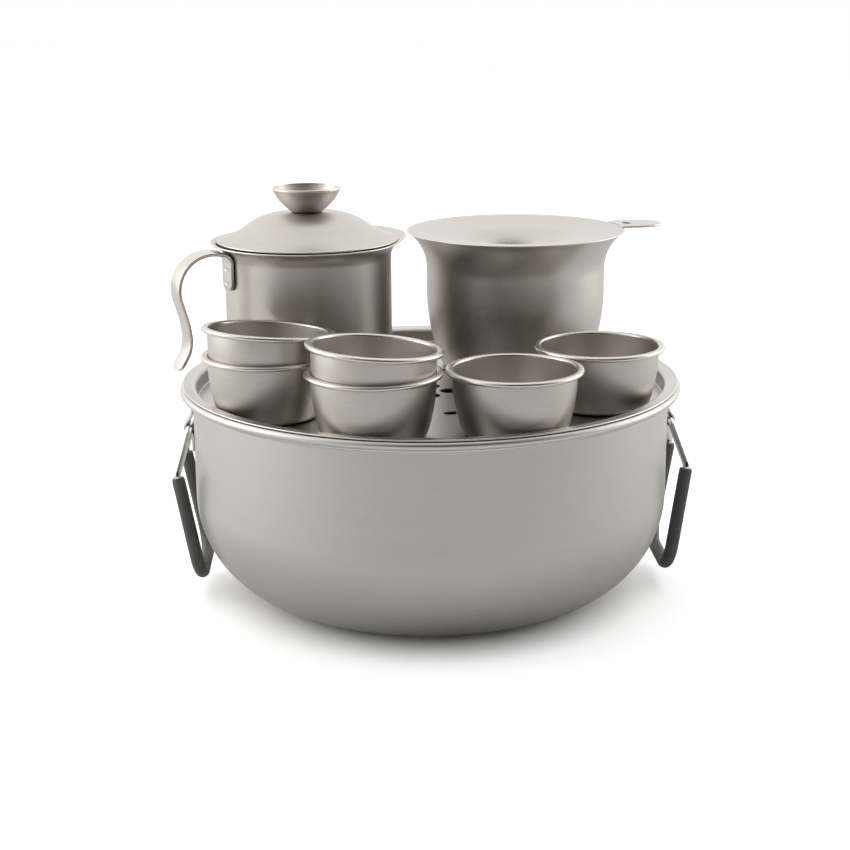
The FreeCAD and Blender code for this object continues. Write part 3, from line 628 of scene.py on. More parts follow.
dress(tray, "tray_body", "titanium", tray_metal, "tray")

# %% [markdown]
# ## The cups
#
# Six of the same cup: a small flat base, a bowed side, an upright lip with a
# rolled bead.  Two pairs are stacked.  A stacked cup sinks until its side
# touches the mouth below and then leans a little, about the point where the
# normals of its side meet, which is how a ball turns in a ring.

# %% Cups
CUP_SHEET, CUP_RADIUS, CUP_HEIGHT, CUP_STRAIGHT = 0.4, 21.7, 23.2, 1.2
CUP_CURVE, CUP_CORNER, CUP_BEAD_HEIGHT, CUP_BEAD_REACH = 66.0, 3.5, 1.84, 2.22
NEST_GAP = 0.15

cup_moves = bowed_side(CUP_RADIUS, CUP_HEIGHT - CUP_STRAIGHT, CUP_CORNER, CUP_CURVE)
cup_moves += [run(CUP_STRAIGHT - CUP_BEAD_HEIGHT / 2)]
cup_moves += rolled_rim(CUP_SHEET, CUP_BEAD_HEIGHT, CUP_BEAD_REACH)
cup_outline, sides = sheet_outline((0, 0), 0.0, cup_moves, CUP_SHEET)

narrowing = CUP_SHEET + NEST_GAP
nest_drop = math.sqrt(narrowing * (2 * CUP_CURVE - narrowing))
nest_rise = nest_drop + CUP_STRAIGHT - CUP_BEAD_HEIGHT / 2
level_radius = math.sqrt(CUP_CURVE ** 2 - nest_drop ** 2)
nest_pivot = (CUP_HEIGHT - CUP_STRAIGHT
              - nest_drop * (CUP_CURVE - CUP_RADIUS) / level_radius)
print("a nested cup stands %.2f mm higher" % nest_rise)


def leaning(points, lean, azimuth):
    """Turn points about a level axis through the nest pivot, towards an azimuth."""
    across = math.radians(azimuth + 90)
    axis = (math.cos(across), math.sin(across), 0)
    turn = np.array(Matrix.Rotation(math.radians(lean), 3, axis))
    pivot = np.array([0, 0, nest_pivot])
    return (points - pivot) @ turn.T + pivot


def make_cup(name, lower, body, rise=0.0, lean=0.0, azimuth=0.0):
    """A cup on the tray at the place of the node `lower`, or nested in it."""
    def move(points):
        return place(leaning(points, lean, azimuth), 0, axis_of(lower), tray_floor + rise)

    cup = turned(name.replace("cup", "tea_cup"), cup_outline, move=move)
    dress(cup, body, "titanium", ware_metal, name)


make_cup("cup_left_lower", "cup_left_lower", "left_lower_cup")
make_cup("cup_left_upper", "cup_left_lower", "left_upper_cup", nest_rise, 5.6, 48.0)
make_cup("cup_middle_lower", "cup_middle_lower", "middle_lower_cup")
make_cup("cup_middle_upper", "cup_middle_lower", "middle_upper_cup", nest_rise, 4.6, 23.0)
make_cup("cup_front", "cup_front", "front_cup")
make_cup("cup_right", "cup_right", "right_cup")

# %% [markdown]
# ## The teapot's mouth
#
# The wall is a plain cylinder, but the mouth flares, and on one side the flare
# is drawn out and up into a beak.  It is still one turned surface.  Only the
# flare's width changes with the angle: a smooth hump widens it for the beak, and
# two smaller humps beside it pinch it in.

# %% Teapot body
TEAPOT_SHEET, TEAPOT_RADIUS, TEAPOT_HEIGHT, TEAPOT_CORNER = 0.6, 32.0, 55.2, 8.0
FLARE_RADIUS, FLARE_ANGLE = 6.0, 82.0
BEAK_AZIMUTH, BEAK_REACH, BEAK_SPREAD = 41.5, 3.7, 35.5
BEAK_LIFT, LIFT_SPREAD = 0.6, 45.0
BEAK_PINCH, PINCH_ANGLE, PINCH_SPREAD = 1.8, 49.0, 19.6

inner_flare = FLARE_RADIUS + TEAPOT_SHEET
flare_full = 1 - math.cos(math.radians(FLARE_ANGLE))
flare_foot = TEAPOT_HEIGHT - inner_flare * math.sin(math.radians(FLARE_ANGLE))


def hump(angle, centre, spread):
    """Smooth rise to 1 at a centre: e to the minus square of the distance."""
    return np.exp(-((angle - centre) / spread) ** 2)


def beak_stretch(degrees):
    """Flare's width over its even width, at angles counted from the beak."""
    wider = BEAK_REACH * hump(degrees, 0, BEAK_SPREAD)
    for side in (-1, 1):
        wider = wider - BEAK_PINCH * hump(degrees, side * PINCH_ANGLE, PINCH_SPREAD)
    return 1 + wider / (FLARE_RADIUS * flare_full)


def beak_lift(degrees, share):
    """How much the beak raises the flare, where this share of it lies inside."""
    return BEAK_LIFT * share * hump(degrees, 0, LIFT_SPREAD)


teapot_moves = [run(TEAPOT_RADIUS - TEAPOT_CORNER), bend(TEAPOT_CORNER, 90),
                run(flare_foot - TEAPOT_CORNER), bend(FLARE_RADIUS, -FLARE_ANGLE)]
teapot_outline, sides = sheet_outline((0, 0), 0.0, teapot_moves, TEAPOT_SHEET)
inner_share = sides[1:-1, None]


def drawn_beak(radius, height, angles):
    """Widen and raise the flare round the beak.

    Out is how far a point lies outside the wall.  Its share of the full flare
    scales the lift, and the stretch scales the out itself.
    """
    degrees = (np.degrees(angles) + 180) % 360 - 180
    wall = TEAPOT_RADIUS - TEAPOT_SHEET * inner_share
    out = np.where(height > flare_foot, np.maximum(radius - wall, 0), 0)
    full = (FLARE_RADIUS + TEAPOT_SHEET * inner_share) * flare_full
    share = np.clip(out / full, 0, 1)
    return radius + out * (beak_stretch(degrees) - 1), height + beak_lift(degrees, share)


teapot = turned("teapot", teapot_outline, shape=drawn_beak,
                move=lambda points: place(points, BEAK_AZIMUTH, teapot_axis, tray_floor))
dress(teapot, "teapot", "titanium", ware_metal, "teapot_body")

# %% [markdown]
# ## Lid, knob and rivet
#
# The lid is a dome whose brim sweeps out flat, so its outline bends down and
# then back.  The knob is a small bowl with a rolled lip, and a rivet holds it.

# %% Lid
LID_SHEET, LID_RADIUS, LID_LAND = 0.6, 34.66, 9.0
DOME_CURVE, BRIM_WIDTH, BRIM_CURVE = 24.4, 10.86, 27.0
KNOB_SHEET, KNOB_BASE, KNOB_FOOT_BEND, KNOB_FOOT_ANGLE = 0.8, 5.0, 1.0, 33.0
KNOB_CURVE, KNOB_ANGLE, KNOB_BEAD = 20.5, 33.0, 0.52
RIVET_RADIUS, HEAD_RADIUS, HEAD_HEIGHT, COLLAR_RADIUS, COLLAR_HEIGHT = 1.5, 2.8, 0.9, 3.6, 0.8


def at_teapot(points):
    """Carry points that are drawn at their height to the teapot's axis."""
    return place(points, 0, teapot_axis)


land = base_of("lid_knob")
steepest = (LID_RADIUS - BRIM_WIDTH - LID_LAND) / DOME_CURVE
dome_angle = math.degrees(math.asin(steepest))
edge_angle = math.degrees(math.asin(steepest - BRIM_WIDTH / BRIM_CURVE))
lid_moves = [run(LID_LAND), bend(DOME_CURVE, -dome_angle),
             bend(BRIM_CURVE, dome_angle - edge_angle)]
lid_outline, sides = sheet_outline((0, land), 0.0, lid_moves, 0.0, LID_SHEET)
lid = turned("dome_lid", lid_outline, move=at_teapot)
dress(lid, "lid", "titanium", ware_metal, "teapot_lid")

# %% Knob and rivet
knob_moves = [run(KNOB_BASE), bend(KNOB_FOOT_BEND, KNOB_FOOT_ANGLE),
              bend(KNOB_CURVE, KNOB_ANGLE)]
knob_outline, sides = sheet_outline((0, land), 0.0, knob_moves, KNOB_SHEET, bead=KNOB_BEAD)
knob = turned("bowl_knob", knob_outline, move=at_teapot, around=160)
dress(knob, "lid", "titanium", ware_metal, "lid_knob")

head_foot, collar_top = land + KNOB_SHEET, land - LID_SHEET
cap_curve = (HEAD_RADIUS ** 2 + HEAD_HEIGHT ** 2) / (2 * HEAD_HEIGHT)
cap_turn = np.linspace(math.asin(HEAD_RADIUS / cap_curve), 0, 12)
cap = np.stack([cap_curve * np.sin(cap_turn),
                head_foot + HEAD_HEIGHT - cap_curve * (1 - np.cos(cap_turn))], 1)
shank = [(0, collar_top - COLLAR_HEIGHT), (COLLAR_RADIUS, collar_top - COLLAR_HEIGHT),
         (COLLAR_RADIUS, collar_top), (RIVET_RADIUS, collar_top),
         (RIVET_RADIUS, head_foot), (HEAD_RADIUS - 0.1, head_foot)]
rivet = turned("knob_rivet_head", np.vstack([shank, cap]), move=at_teapot, around=64)
dress(rivet, "lid", "bright_wire", wire_metal, "knob_rivet")

# %% [markdown]
# ## Pouring jug and strainer
#
# The jug has a bowed side, an upright neck and a trumpet mouth.  The strainer is
# a wide flat dish with a well in the middle; it hangs in the trumpet by its rim,
# and a slotted finger tab sticks out under the rim.

# %% Jug
JUG_SHEET, JUG_RADIUS, JUG_SIDE, JUG_STRAIGHT = 0.5, 35.4, 31.0, 9.0
JUG_CORNER, JUG_CURVE, JUG_FLARE, JUG_FLARE_ANGLE = 4.5, 75.0, 18.2, 52.8

jug_moves = bowed_side(JUG_RADIUS, JUG_SIDE, JUG_CORNER, JUG_CURVE)
jug_moves += [run(JUG_STRAIGHT), bend(JUG_FLARE, -JUG_FLARE_ANGLE)]
jug_outline, sides = sheet_outline((0, 0), 0.0, jug_moves, JUG_SHEET)
jug = turned("trumpet_jug", jug_outline,
             move=lambda points: place(points, 0, jug_axis, tray_floor))
dress(jug, "jug", "titanium", ware_metal, "pouring_jug")

# %% Strainer dish
STRAINER_SHEET, STRAINER_RADIUS, RIM_RUN, RIM_BEND, DISH_SLOPE = 0.5, 43.25, 1.8, 10.0, 8.0
THROAT, WELL_RADIUS, WELL_DEPTH, WELL_DRAFT, WELL_CORNER = 15.0, 10.5, 4.03, 6.0, 2.5
HOLE_RADIUS, HOLE_PITCH, HOLE_RINGS = 0.8, 2.5, 2


def strainer_moves():
    """Well floor, corner, wall, throat, gentle slope and flat edge."""
    wall = 90 - WELL_DRAFT
    start = [run(WELL_RADIUS - WELL_CORNER), bend(WELL_CORNER, wall), run(WELL_DEPTH),
             bend(THROAT - STRAINER_SHEET, DISH_SLOPE - wall)]
    finish = [bend(RIM_BEND, -DISH_SLOPE), run(RIM_RUN)]
    reach = trace((0, 0), 0.0, start)[0][-1, 0] + trace((0, 0), DISH_SLOPE, finish)[0][-1, 0]
    across = STRAINER_RADIUS - STRAINER_SHEET / 2 - reach
    return start + [run(across / math.cos(math.radians(DISH_SLOPE)))] + finish


well_floor = base_of("jug_strainer")
dish_outline, sides = sheet_outline((0, well_floor), 0.0, strainer_moves(), STRAINER_SHEET)
dish = turned("strainer_dish", dish_outline, move=lambda points: place(points, 0, jug_axis))
holes = [circle(HOLE_RADIUS, jug_axis + on_ring(60 * k / max(ring, 1), ring * HOLE_PITCH), 20)
         for ring in range(HOLE_RINGS + 1) for k in range(max(1, 6 * ring))]
drill(dish, prisms("holes", holes, well_floor - 1, well_floor + 1.5))
dress(dish, "strainer", "titanium", ware_metal, "jug_strainer")

# %% [markdown]
# ## Plates and straps
#
# The tab is a flat plate.  The teapot's handle and the bail brackets are straps:
# a path again, but carried sideways over the strap's width.  All of them have
# rounded edges, because a sharp edge would catch no light and look cut from
# paper.  Near an edge the surface turns on a quarter circle.

# %% Finger tab
TAB_AZIMUTH, TAB_REACH, TAB_WIDTH, TAB_THICKNESS, TAB_OVERLAP = 13.7, 61.0, 17.5, 0.9, 0.4
TAB_SLOT_LENGTH, TAB_SLOT_WIDTH, TAB_SLOT_SETBACK = 5.0, 3.0, 3.4
EDGE_ROUND = 0.25


def stadium(half_length, half_width, centre, count=20):
    """Outline of a slot with round ends, its length along Y."""
    turn = np.linspace(0, math.pi, count)
    arc = np.stack([np.cos(turn), np.sin(turn)], 1) * half_width
    straight = np.array([0, half_length - half_width])
    return np.vstack([arc + straight, straight * -1 - arc]) + centre


def tab_outline(inset):
    """Straight sides, a half round tip, and a root that follows the dish's edge."""
    half = TAB_WIDTH / 2 - inset
    root = STRAINER_RADIUS - TAB_OVERLAP + inset
    tip = np.linspace(-math.pi / 2, math.pi / 2, 33)
    shoulder = TAB_REACH - TAB_WIDTH / 2
    outer = np.stack([shoulder + half * np.cos(tip), half * np.sin(tip)], 1)
    back = np.linspace(half, -half, 17)
    return np.vstack([outer, np.stack([np.sqrt(root ** 2 - back ** 2), back], 1)])


def make_tab(top):
    """Plate over its outline, with edges that turn on a quarter circle."""
    turn = np.linspace(0, math.pi / 2, 5)
    insets = EDGE_ROUND * (1 - np.sin(turn))
    rises = EDGE_ROUND * (1 - np.cos(turn))
    low, high = top - TAB_THICKNESS, top
    levels = [(i, low + r) for i, r in zip(insets, rises)]
    levels += [(i, high - r) for i, r in zip(insets[::-1], rises[::-1])]
    rows = [np.column_stack([tab_outline(i), np.full(50, h)]) for i, h in levels]
    columns = len(rows[0])
    points = place(np.vstack(rows), TAB_AZIMUTH, jug_axis)
    quads = grid_quads(len(rows), columns)
    along = np.arange(len(rows)) * 0.2
    caps = [list(range(columns))[::-1], [len(points) - columns + k for k in range(columns)]]
    uv = np.vstack([grid_uv(along, columns), np.zeros((2 * columns, 2))])
    edge = np.repeat(np.where(np.arange(len(rows)) % 9 == 0, 0.0, 1.0), columns)
    tab = new_piece("finger_tab", points, quads, caps, uv, edge)
    slot = stadium(TAB_SLOT_LENGTH / 2, TAB_SLOT_WIDTH / 2, (STRAINER_RADIUS + TAB_SLOT_SETBACK, 0))
    slot = place(np.column_stack([slot, np.zeros(len(slot))]), TAB_AZIMUTH, jug_axis)[:, :2]
    drill(tab, prisms("tab_slot", [slot], low - 1, high + 1))
    return tab


tab = make_tab(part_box("jug_strainer")[1].z / MM)
dress(tab, "strainer", "titanium", ware_metal)


# %% Straps
def strap(name, start, heading, moves, width, thickness, corner, move):
    """Strap along a path, with rounded long edges, corners and ends.

    At each station its section is a rectangle with quarter circles at the
    corners.  Towards both ends the half width shrinks on a circle of radius
    `corner`, and the whole section shrinks on the edge's own small circle.
    """
    points, headings = trace(start, heading, moves, fine=2.0)
    along = lengths_along(points)
    total = along[-1]
    turn = np.linspace(0, math.pi / 2, 12)
    near = np.unique(np.concatenate([EDGE_ROUND * (1 - np.cos(turn)), corner * (1 - np.cos(turn))]))
    stations = np.unique(np.concatenate([near, np.arange(corner, total - corner, 0.7), total - near]))
    x = np.interp(stations, along, points[:, 0])
    z = np.interp(stations, along, points[:, 1])
    way = np.interp(stations, along, headings)
    from_end = np.minimum(stations, total - stations)

    def shrink(radius):
        gap = np.clip(radius - from_end, 0, radius)
        return radius - np.sqrt(radius ** 2 - gap ** 2)

    half_width = width / 2 - shrink(corner) - shrink(EDGE_ROUND)
    half_thick = thickness / 2 - shrink(EDGE_ROUND)
    quarter = np.linspace(0, math.pi / 2, 5)
    spin = np.concatenate([quarter + k * math.pi / 2 for k in range(4)])
    sign_y = np.repeat([1, -1, -1, 1], 5)
    sign_n = np.repeat([1, 1, -1, -1], 5)
    radius = np.minimum(EDGE_ROUND, half_thick)[:, None]
    across = sign_y * (half_width[:, None] - radius) + radius * np.cos(spin)
    normal = sign_n * (half_thick[:, None] - radius) + radius * np.sin(spin)
    grid = np.stack([x[:, None] - normal * np.sin(way)[:, None], across,
                     z[:, None] + normal * np.cos(way)[:, None]], -1)
    rows, columns = grid.shape[:2]
    flat = move(grid.reshape(-1, 3))
    caps = [list(range(columns))[::-1], [rows * columns - columns + k for k in range(columns)]]
    uv = np.vstack([grid_uv(stations, columns), np.zeros((2 * columns, 2))])
    edge = np.full(rows * columns, 0.6)
    edge[np.abs(normal).ravel() < thickness / 2 - 0.02] = 1.0
    middle = (np.abs(across) < width / 2 - 1.0).ravel()
    edge[middle] = 0.0
    return new_piece(name, flat, grid_quads(rows, columns), caps, uv, edge)


def dents(name, centres, outward, radius, depth):
    """Cutter for round spot-weld dents: flat-nosed cones at points of a face."""
    count = 20
    ring = circle(1.0, count=count)
    outward = np.array(outward) / np.linalg.norm(outward)
    side = np.array([-outward[1], outward[0], 0.0])
    points, faces = [], []
    step = np.arange(count)
    beside = (step + 1) % count
    for index, centre in enumerate(centres):
        for size, rise in ((0.55 * radius, -depth), (1.2 * radius, depth)):
            points.append(np.array(centre) + outward * rise
                          + size * (ring[:, :1] * side + ring[:, 1:] * np.array([0, 0, 1])))
        first = 2 * count * index
        faces += (np.stack([step, beside, beside + count, step + count], 1) + first).tolist()
        faces += [(step[::-1] + first).tolist(), (step + count + first).tolist()]
    mesh = bpy.data.meshes.new(name)
    mesh.from_pydata((np.vstack(points) * MM).tolist(), [], faces)
    cutter = bpy.data.objects.new(name, mesh)
    bpy.context.scene.collection.objects.link(cutter)
    return cutter


# %% [markdown]
# ## The teapot's handle
#
# A strap that is spot welded flat to the wall, swings out over the flare's foot,
# crowns, and comes down to a free tail that curls away from the hand.

# %% Teapot handle
HANDLE_THICKNESS, HANDLE_WIDTH, HANDLE_AZIMUTH, HANDLE_CORNER = 1.2, 10.0, 206.0, 3.4
HANDLE_FOOT, HANDLE_FOOT_RUN, STRAP_GAP = 38.4, 10.4, 0.05
DOT_RADIUS, DOT_DEPTH, HANDLE_DOTS = 0.8, 0.2, 5.2

handle_line = TEAPOT_RADIUS + STRAP_GAP + HANDLE_THICKNESS / 2
handle_moves = [run(HANDLE_FOOT_RUN), bend(3.8, -82.5), run(2.5), bend(13.2, -113.4), run(7.1),
                bend(29.4, 9.0), run(2.0), bend(12.8, 37.5), run(5.8)]
handle = strap("strap_handle", (handle_line, HANDLE_FOOT), 90.0, handle_moves, HANDLE_WIDTH,
               HANDLE_THICKNESS, HANDLE_CORNER,
               lambda points: place(points, HANDLE_AZIMUTH, teapot_axis, tray_floor))
first_dot = HANDLE_FOOT + HANDLE_FOOT_RUN / 2 - HANDLE_DOTS / 2
dots = np.array([[handle_line + HANDLE_THICKNESS / 2, 0, first_dot + k * HANDLE_DOTS]
                 for k in (0, 1)])
drill(handle, dents("handle_dots", place(dots, HANDLE_AZIMUTH, teapot_axis, tray_floor),
                    (*on_ring(HANDLE_AZIMUTH, 1.0), 0.0), DOT_RADIUS, DOT_DEPTH))
dress(handle, "teapot", "titanium", ware_metal, "teapot_handle")

# %% [markdown]
# ## Bails
#
# A bail is a ring of wire.  Its short top side is the axle, held by a strap that
# is bent round it and spot welded above and below.  From the axle the wire runs
# down over two shoulders into a long U, and a silicone sleeve covers the U.  The
# wire is a tube round a path with rounded corners.

# %% Rounded paths and tubes
BAIL_AZIMUTH, RIGHT_SWING, PIVOT_DROP, WIRE_RADIUS = 2.4, 1.9, 17.2, 1.4
AXLE_HALF, AXLE_BEND = 8.0, 3.2
SHOULDER = (4.1, 17.9, -14.4)
SHOULDER_BEND = 3.0
GRIP = (-3.5, 19.6, -54.9)
GRIP_BEND = 9.5
SLEEVE_RADIUS, SLEEVE_START = 2.45, 0.2
BRACKET_THICKNESS, BRACKET_WIDTH, RETURN_BEND = 0.9, 9.0, 1.05
UPPER_RUN, LOWER_RUN, SLOPE, SLOPE_BEND = 2.85, 6.5, 35.0, 2.5
PIVOT_CLEARANCE, BRACKET_DOT_OFFSET = 0.08, 2.2


def rounded_corner(before, corner, after, radius, count=14):
    """Points of the arc that rounds a corner between two runs."""
    came = (corner - before) / np.linalg.norm(corner - before)
    goes = (after - corner) / np.linalg.norm(after - corner)
    half = math.acos(np.clip(came @ goes, -1, 1)) / 2
    inward = (goes - came) / np.linalg.norm(goes - came)
    along = (goes + came) / np.linalg.norm(goes + came)
    centre = corner + inward * radius / math.cos(half)
    turn = np.linspace(-half, half, count)[:, None]
    return centre + radius * (np.sin(turn) * along - np.cos(turn) * inward)


def spaced(points, step=1.0):
    """The same line with more points on its long runs."""
    along = lengths_along(points)
    stations = np.unique(np.concatenate([along, np.arange(0, along[-1], step)]).round(4))
    return np.stack([np.interp(stations, along, points[:, k]) for k in range(3)], 1)


def tube(name, line, radii, closed, move, around=32):
    """Round tube along a line: centre + r (cos t side + sin t over).

    The line lies nearly in one plane, so `side` is square to that plane's
    normal and to the line, and no section twists.
    """
    if closed:
        ahead, behind = np.roll(line, -1, 0), np.roll(line, 1, 0)
        tangent = ahead - behind
    else:
        tangent = np.gradient(line, axis=0)
    tangent /= np.linalg.norm(tangent, axis=1)[:, None]
    side = np.cross(np.array([1.0, 0, 0]), tangent)
    side /= np.linalg.norm(side, axis=1)[:, None]
    over = np.cross(side, tangent)
    turn = np.arange(around) * 2 * math.pi / around
    offset = (np.cos(turn)[None, :, None] * side[:, None]
              + np.sin(turn)[None, :, None] * over[:, None])
    grid = line[:, None] + np.asarray(radii)[:, None, None] * offset
    rows = len(line)
    quads = grid_quads(rows, around, closed)[:, ::-1]
    along = lengths_along(line)
    caps, uv = [], grid_uv(along, around)
    if closed:
        whole = along[-1] + np.linalg.norm(line[0] - line[-1])
        uv = grid_uv(along, around, whole)
    else:
        caps = [list(range(around)), [rows * around - around + k for k in range(around)][::-1]]
        uv = np.vstack([uv, np.zeros((2 * around, 2))])
    return new_piece(name, move(grid.reshape(-1, 3)), quads, caps, uv, np.zeros(rows * around))


# %% Bail wires, sleeves and brackets
half_thick = BRACKET_THICKNESS / 2
wire_inset = RETURN_BEND - half_thick
pivot_out = POT_RADIUS + STRAP_GAP + BRACKET_THICKNESS + wire_inset
corners = np.array([(0, AXLE_HALF, 0), SHOULDER, GRIP])
mirror = np.array([1, -1, 1])
ring_corners = np.vstack([corners, (corners * mirror)[::-1]])
ring_bends = [AXLE_BEND, SHOULDER_BEND, GRIP_BEND, GRIP_BEND, SHOULDER_BEND, AXLE_BEND]
wire_line = np.vstack([rounded_corner(ring_corners[k - 1], ring_corners[k],
                                      ring_corners[(k + 1) % 6], ring_bends[k])
                       for k in range(6)])
sleeve_top = wire_line[2 * 14 - 14 + 13] + SLEEVE_START * (
    (corners[2] - corners[1]) / np.linalg.norm(corners[2] - corners[1]))
sleeve_line = spaced(np.vstack([sleeve_top, wire_line[28:56], sleeve_top * mirror]), 0.8)
sleeve_length = lengths_along(sleeve_line)
end_gap = np.minimum(sleeve_length, sleeve_length[-1] - sleeve_length)
END_ROUND = 0.35
short = np.clip(END_ROUND - end_gap, 0, END_ROUND)
sleeve_radii = SLEEVE_RADIUS - END_ROUND + np.sqrt(END_ROUND ** 2 - short ** 2)


def on_pot(azimuth, swing=0.0):
    """Mover from a bail's own frame to its place on the pot's wall.

    In its own frame X points out of the pot, Y lies along the axle and the
    origin is on the axle.  It swings about the axle, then moves out and round.
    """
    turn = np.array(Matrix.Rotation(math.radians(swing), 3, (0, -1, 0)))

    def move(points):
        out = points @ turn.T + np.array([pivot_out, 0, POT_HEIGHT - PIVOT_DROP])
        return place(out, azimuth)

    return move


crown = WIRE_RADIUS + PIVOT_CLEARANCE + half_thick
flat_x = -RETURN_BEND
slope = math.radians(SLOPE)
slope_run = (crown * math.cos(slope) - flat_x - SLOPE_BEND * (1 - math.cos(slope))) / math.sin(slope)
strap_top = (crown * math.sin(slope) + slope_run * math.cos(slope)
             + SLOPE_BEND * math.sin(slope) + UPPER_RUN)
bracket_moves = [run(UPPER_RUN), bend(SLOPE_BEND, SLOPE), run(slope_run),
                 bend(crown, -90 - SLOPE), bend(RETURN_BEND, 90), run(LOWER_RUN)]
dot_levels = (strap_top - UPPER_RUN / 2, -crown - RETURN_BEND - LOWER_RUN / 2)
dot_places = np.array([(flat_x + half_thick, side * BRACKET_DOT_OFFSET, level)
                       for level in dot_levels for side in (-1, 1)])

for hand, azimuth, swing in (("right", BAIL_AZIMUTH, RIGHT_SWING), ("left", BAIL_AZIMUTH + 180, 0.0)):
    body = hand + "_bail"
    hang = on_pot(azimuth, swing)
    wire = tube(hand + "_wire", wire_line, np.full(len(wire_line), WIRE_RADIUS), True, hang)
    dress(wire, body, "bright_wire", wire_metal, hand + "_bail_wire")
    sleeve = tube(hand + "_sleeve", sleeve_line, sleeve_radii, False, hang)
    dress(sleeve, body, "grip_rubber", silicone, hand + "_grip_sleeve")
    fixed = on_pot(azimuth)
    bracket = strap(hand + "_bracket", (flat_x, strap_top), -90.0, bracket_moves,
                    BRACKET_WIDTH, BRACKET_THICKNESS, 1.0, fixed)
    drill(bracket, dents(hand + "_dots", fixed(dot_places), (*on_ring(azimuth, 1.0), 0.0),
                         DOT_RADIUS, DOT_DEPTH))
    dress(bracket, "pot_body", "titanium", pot_metal, hand + "_bail_bracket")

# %% [markdown]
# ## Floor and light
#
# The set stands on a white sweep in a studio that is white all round, apart from
# the side where the photographer stands.  Metal shows its surroundings: tops are
# bright because they mirror the white wall behind, and the pot's middle is
# darker than its flanks because it mirrors the dim end of the room.  The floor
# and the world look white to the camera without throwing more light on the set.

# %% Floor
FLOOR_HALF = 3.0
floor_mesh = bpy.data.meshes.new("floor")
floor_mesh.from_pydata([(x * FLOOR_HALF, y * FLOOR_HALF, -0.00002)
                        for x, y in ((-1, -1), (1, -1), (1, 1), (-1, 1))], [], [(0, 1, 2, 3)])
floor = bpy.data.objects.new("floor", floor_mesh)
bpy.context.scene.collection.objects.link(floor)

# The camera sees the paper's shadow, but with a little light of its own added,
# so that paper in open light reaches pure white.  That light fades where the pot
# shuts the paper in, so the dark line under the base stays.
FLOOR_GLOW = 0.53
sweep = bpy.data.materials.new("white_sweep")
sweep.use_nodes = True
tree = sweep.node_tree
tree.nodes.clear()
paper = node(tree, "ShaderNodeBsdfDiffuse", Color=(0.80, 0.80, 0.80, 1))
glow = tree.nodes.new("ShaderNodeEmission")
opening = node(tree, "ShaderNodeAmbientOcclusion", samples=16, Distance=0.3)
spread = node(tree, "ShaderNodeMapRange")
for label, value in (("From Min", 0.05), ("From Max", 0.50), ("To Max", FLOOR_GLOW)):
    spread.inputs[label].default_value = value
tree.links.new(opening.outputs["AO"], spread.inputs["Value"])
tree.links.new(spread.outputs["Result"], glow.inputs["Strength"])
lit = tree.nodes.new("ShaderNodeAddShader")
tree.links.new(paper.outputs[0], lit.inputs[0])
tree.links.new(glow.outputs[0], lit.inputs[1])
path = tree.nodes.new("ShaderNodeLightPath")
choice = tree.nodes.new("ShaderNodeMixShader")
seen = maths(tree, "MAXIMUM", path.outputs["Is Camera Ray"], path.outputs["Is Transmission Ray"])
tree.links.new(seen, choice.inputs[0])
tree.links.new(paper.outputs[0], choice.inputs[1])
tree.links.new(lit.outputs[0], choice.inputs[2])
output = tree.nodes.new("ShaderNodeOutputMaterial")
tree.links.new(choice.outputs[0], output.inputs["Surface"])
floor_mesh.materials.append(sweep)

# %% World
# The room is white behind, above and beside the set, and its brightness falls
# to nothing towards the dim end behind the camera.  It depends only on the
# cosine of the angle to that dim end.  Metal and diffuse surfaces see that room,
# and the camera sees plain white.
ROOM_BRIGHT, ROOM_DIM = 1.20, 0.02
DIM_END = (0.25, -0.955, 0.15)
BRIGHT_FROM, DIM_FROM = 0.03, 0.90
world = bpy.data.worlds.new("studio")
bpy.context.scene.world = world
world.use_nodes = True
tree = world.node_tree
tree.nodes.clear()
way = node(tree, "ShaderNodeTexCoord").outputs["Generated"]
nearness = node(tree, "ShaderNodeVectorMath", operation="DOT_PRODUCT")
nearness.inputs[1].default_value = DIM_END
tree.links.new(way, nearness.inputs[0])
fall = node(tree, "ShaderNodeMapRange", interpolation_type="SMOOTHSTEP")
for label, value in (("From Min", BRIGHT_FROM), ("From Max", DIM_FROM), ("To Min", ROOM_BRIGHT),
                     ("To Max", ROOM_DIM)):
    fall.inputs[label].default_value = value
tree.links.new(nearness.outputs["Value"], fall.inputs["Value"])
room = node(tree, "ShaderNodeBackground", Color=(1, 1, 1, 1))
tree.links.new(fall.outputs["Result"], room.inputs["Strength"])
white = node(tree, "ShaderNodeBackground", Color=(1, 1, 1, 1), Strength=1.0)
path = tree.nodes.new("ShaderNodeLightPath")
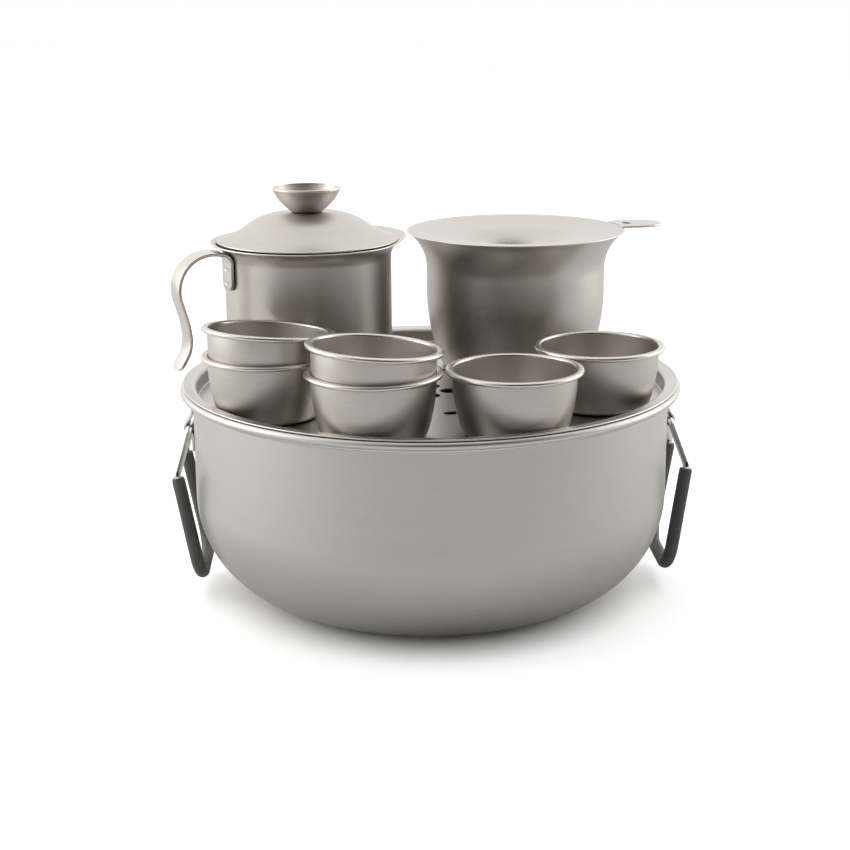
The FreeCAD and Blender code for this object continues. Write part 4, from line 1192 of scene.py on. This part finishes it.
choice = tree.nodes.new("ShaderNodeMixShader")
tree.links.new(path.outputs["Is Camera Ray"], choice.inputs[0])
tree.links.new(room.outputs[0], choice.inputs[1])
tree.links.new(white.outputs[0], choice.inputs[2])
output = tree.nodes.new("ShaderNodeOutputWorld")
tree.links.new(choice.outputs[0], output.inputs["Surface"])


# %% Lamps
def soft_box(name, stands, size, watts):
    """Large square area lamp that points at the set from where it stands."""
    data = bpy.data.lights.new(name, "AREA")
    data.shape, data.size, data.energy = "SQUARE", size, watts
    lamp = bpy.data.objects.new(name, data)
    lamp.location = stands
    towards = Vector(SET_MIDDLE) - lamp.location
    lamp.rotation_euler = towards.to_track_quat("-Z", "Y").to_euler()
    bpy.context.scene.collection.objects.link(lamp)


SET_MIDDLE = (0.0, 0.0, 0.07)
soft_box("left_box", (-1.35, 0.15, 0.45), 1.2, 7.1)
soft_box("right_box", (1.25, 0.45, 0.40), 1.0, 3.9)
print("lamps:", [lamp.name for lamp in bpy.data.lights])

# %% [markdown]
# ## Camera
#
# The photograph was taken from in front and a little above, with a long lens.
# The camera's place, its tilt and its slight roll make the rims fall on the same
# ellipses as in the photograph.

# %% Camera
CAMERA_PLACE = (-2.045, -638.93, 234.0)
CAMERA_PITCH, CAMERA_ROLL = 14.942, -0.385
SENSOR, LENS = 36.0, 73.12

camera_data = bpy.data.cameras.new("photo_camera")
camera_data.sensor_width, camera_data.lens = SENSOR, LENS
camera_data.clip_start, camera_data.clip_end = 0.01, 50.0
camera = bpy.data.objects.new("photo_camera", camera_data)
pitch, tilt = math.radians(CAMERA_PITCH), math.radians(CAMERA_ROLL)
turned_camera = Matrix.Rotation(math.pi / 2 - pitch, 4, "X") @ Matrix.Rotation(tilt, 4, "Z")
camera.matrix_world = Matrix.Translation([c * MM for c in CAMERA_PLACE]) @ turned_camera
bpy.context.scene.collection.objects.link(camera)
bpy.context.scene.camera = camera
bpy.context.scene.view_settings.view_transform = "Standard"
print("camera at", [round(c, 4) for c in camera.matrix_world.translation])
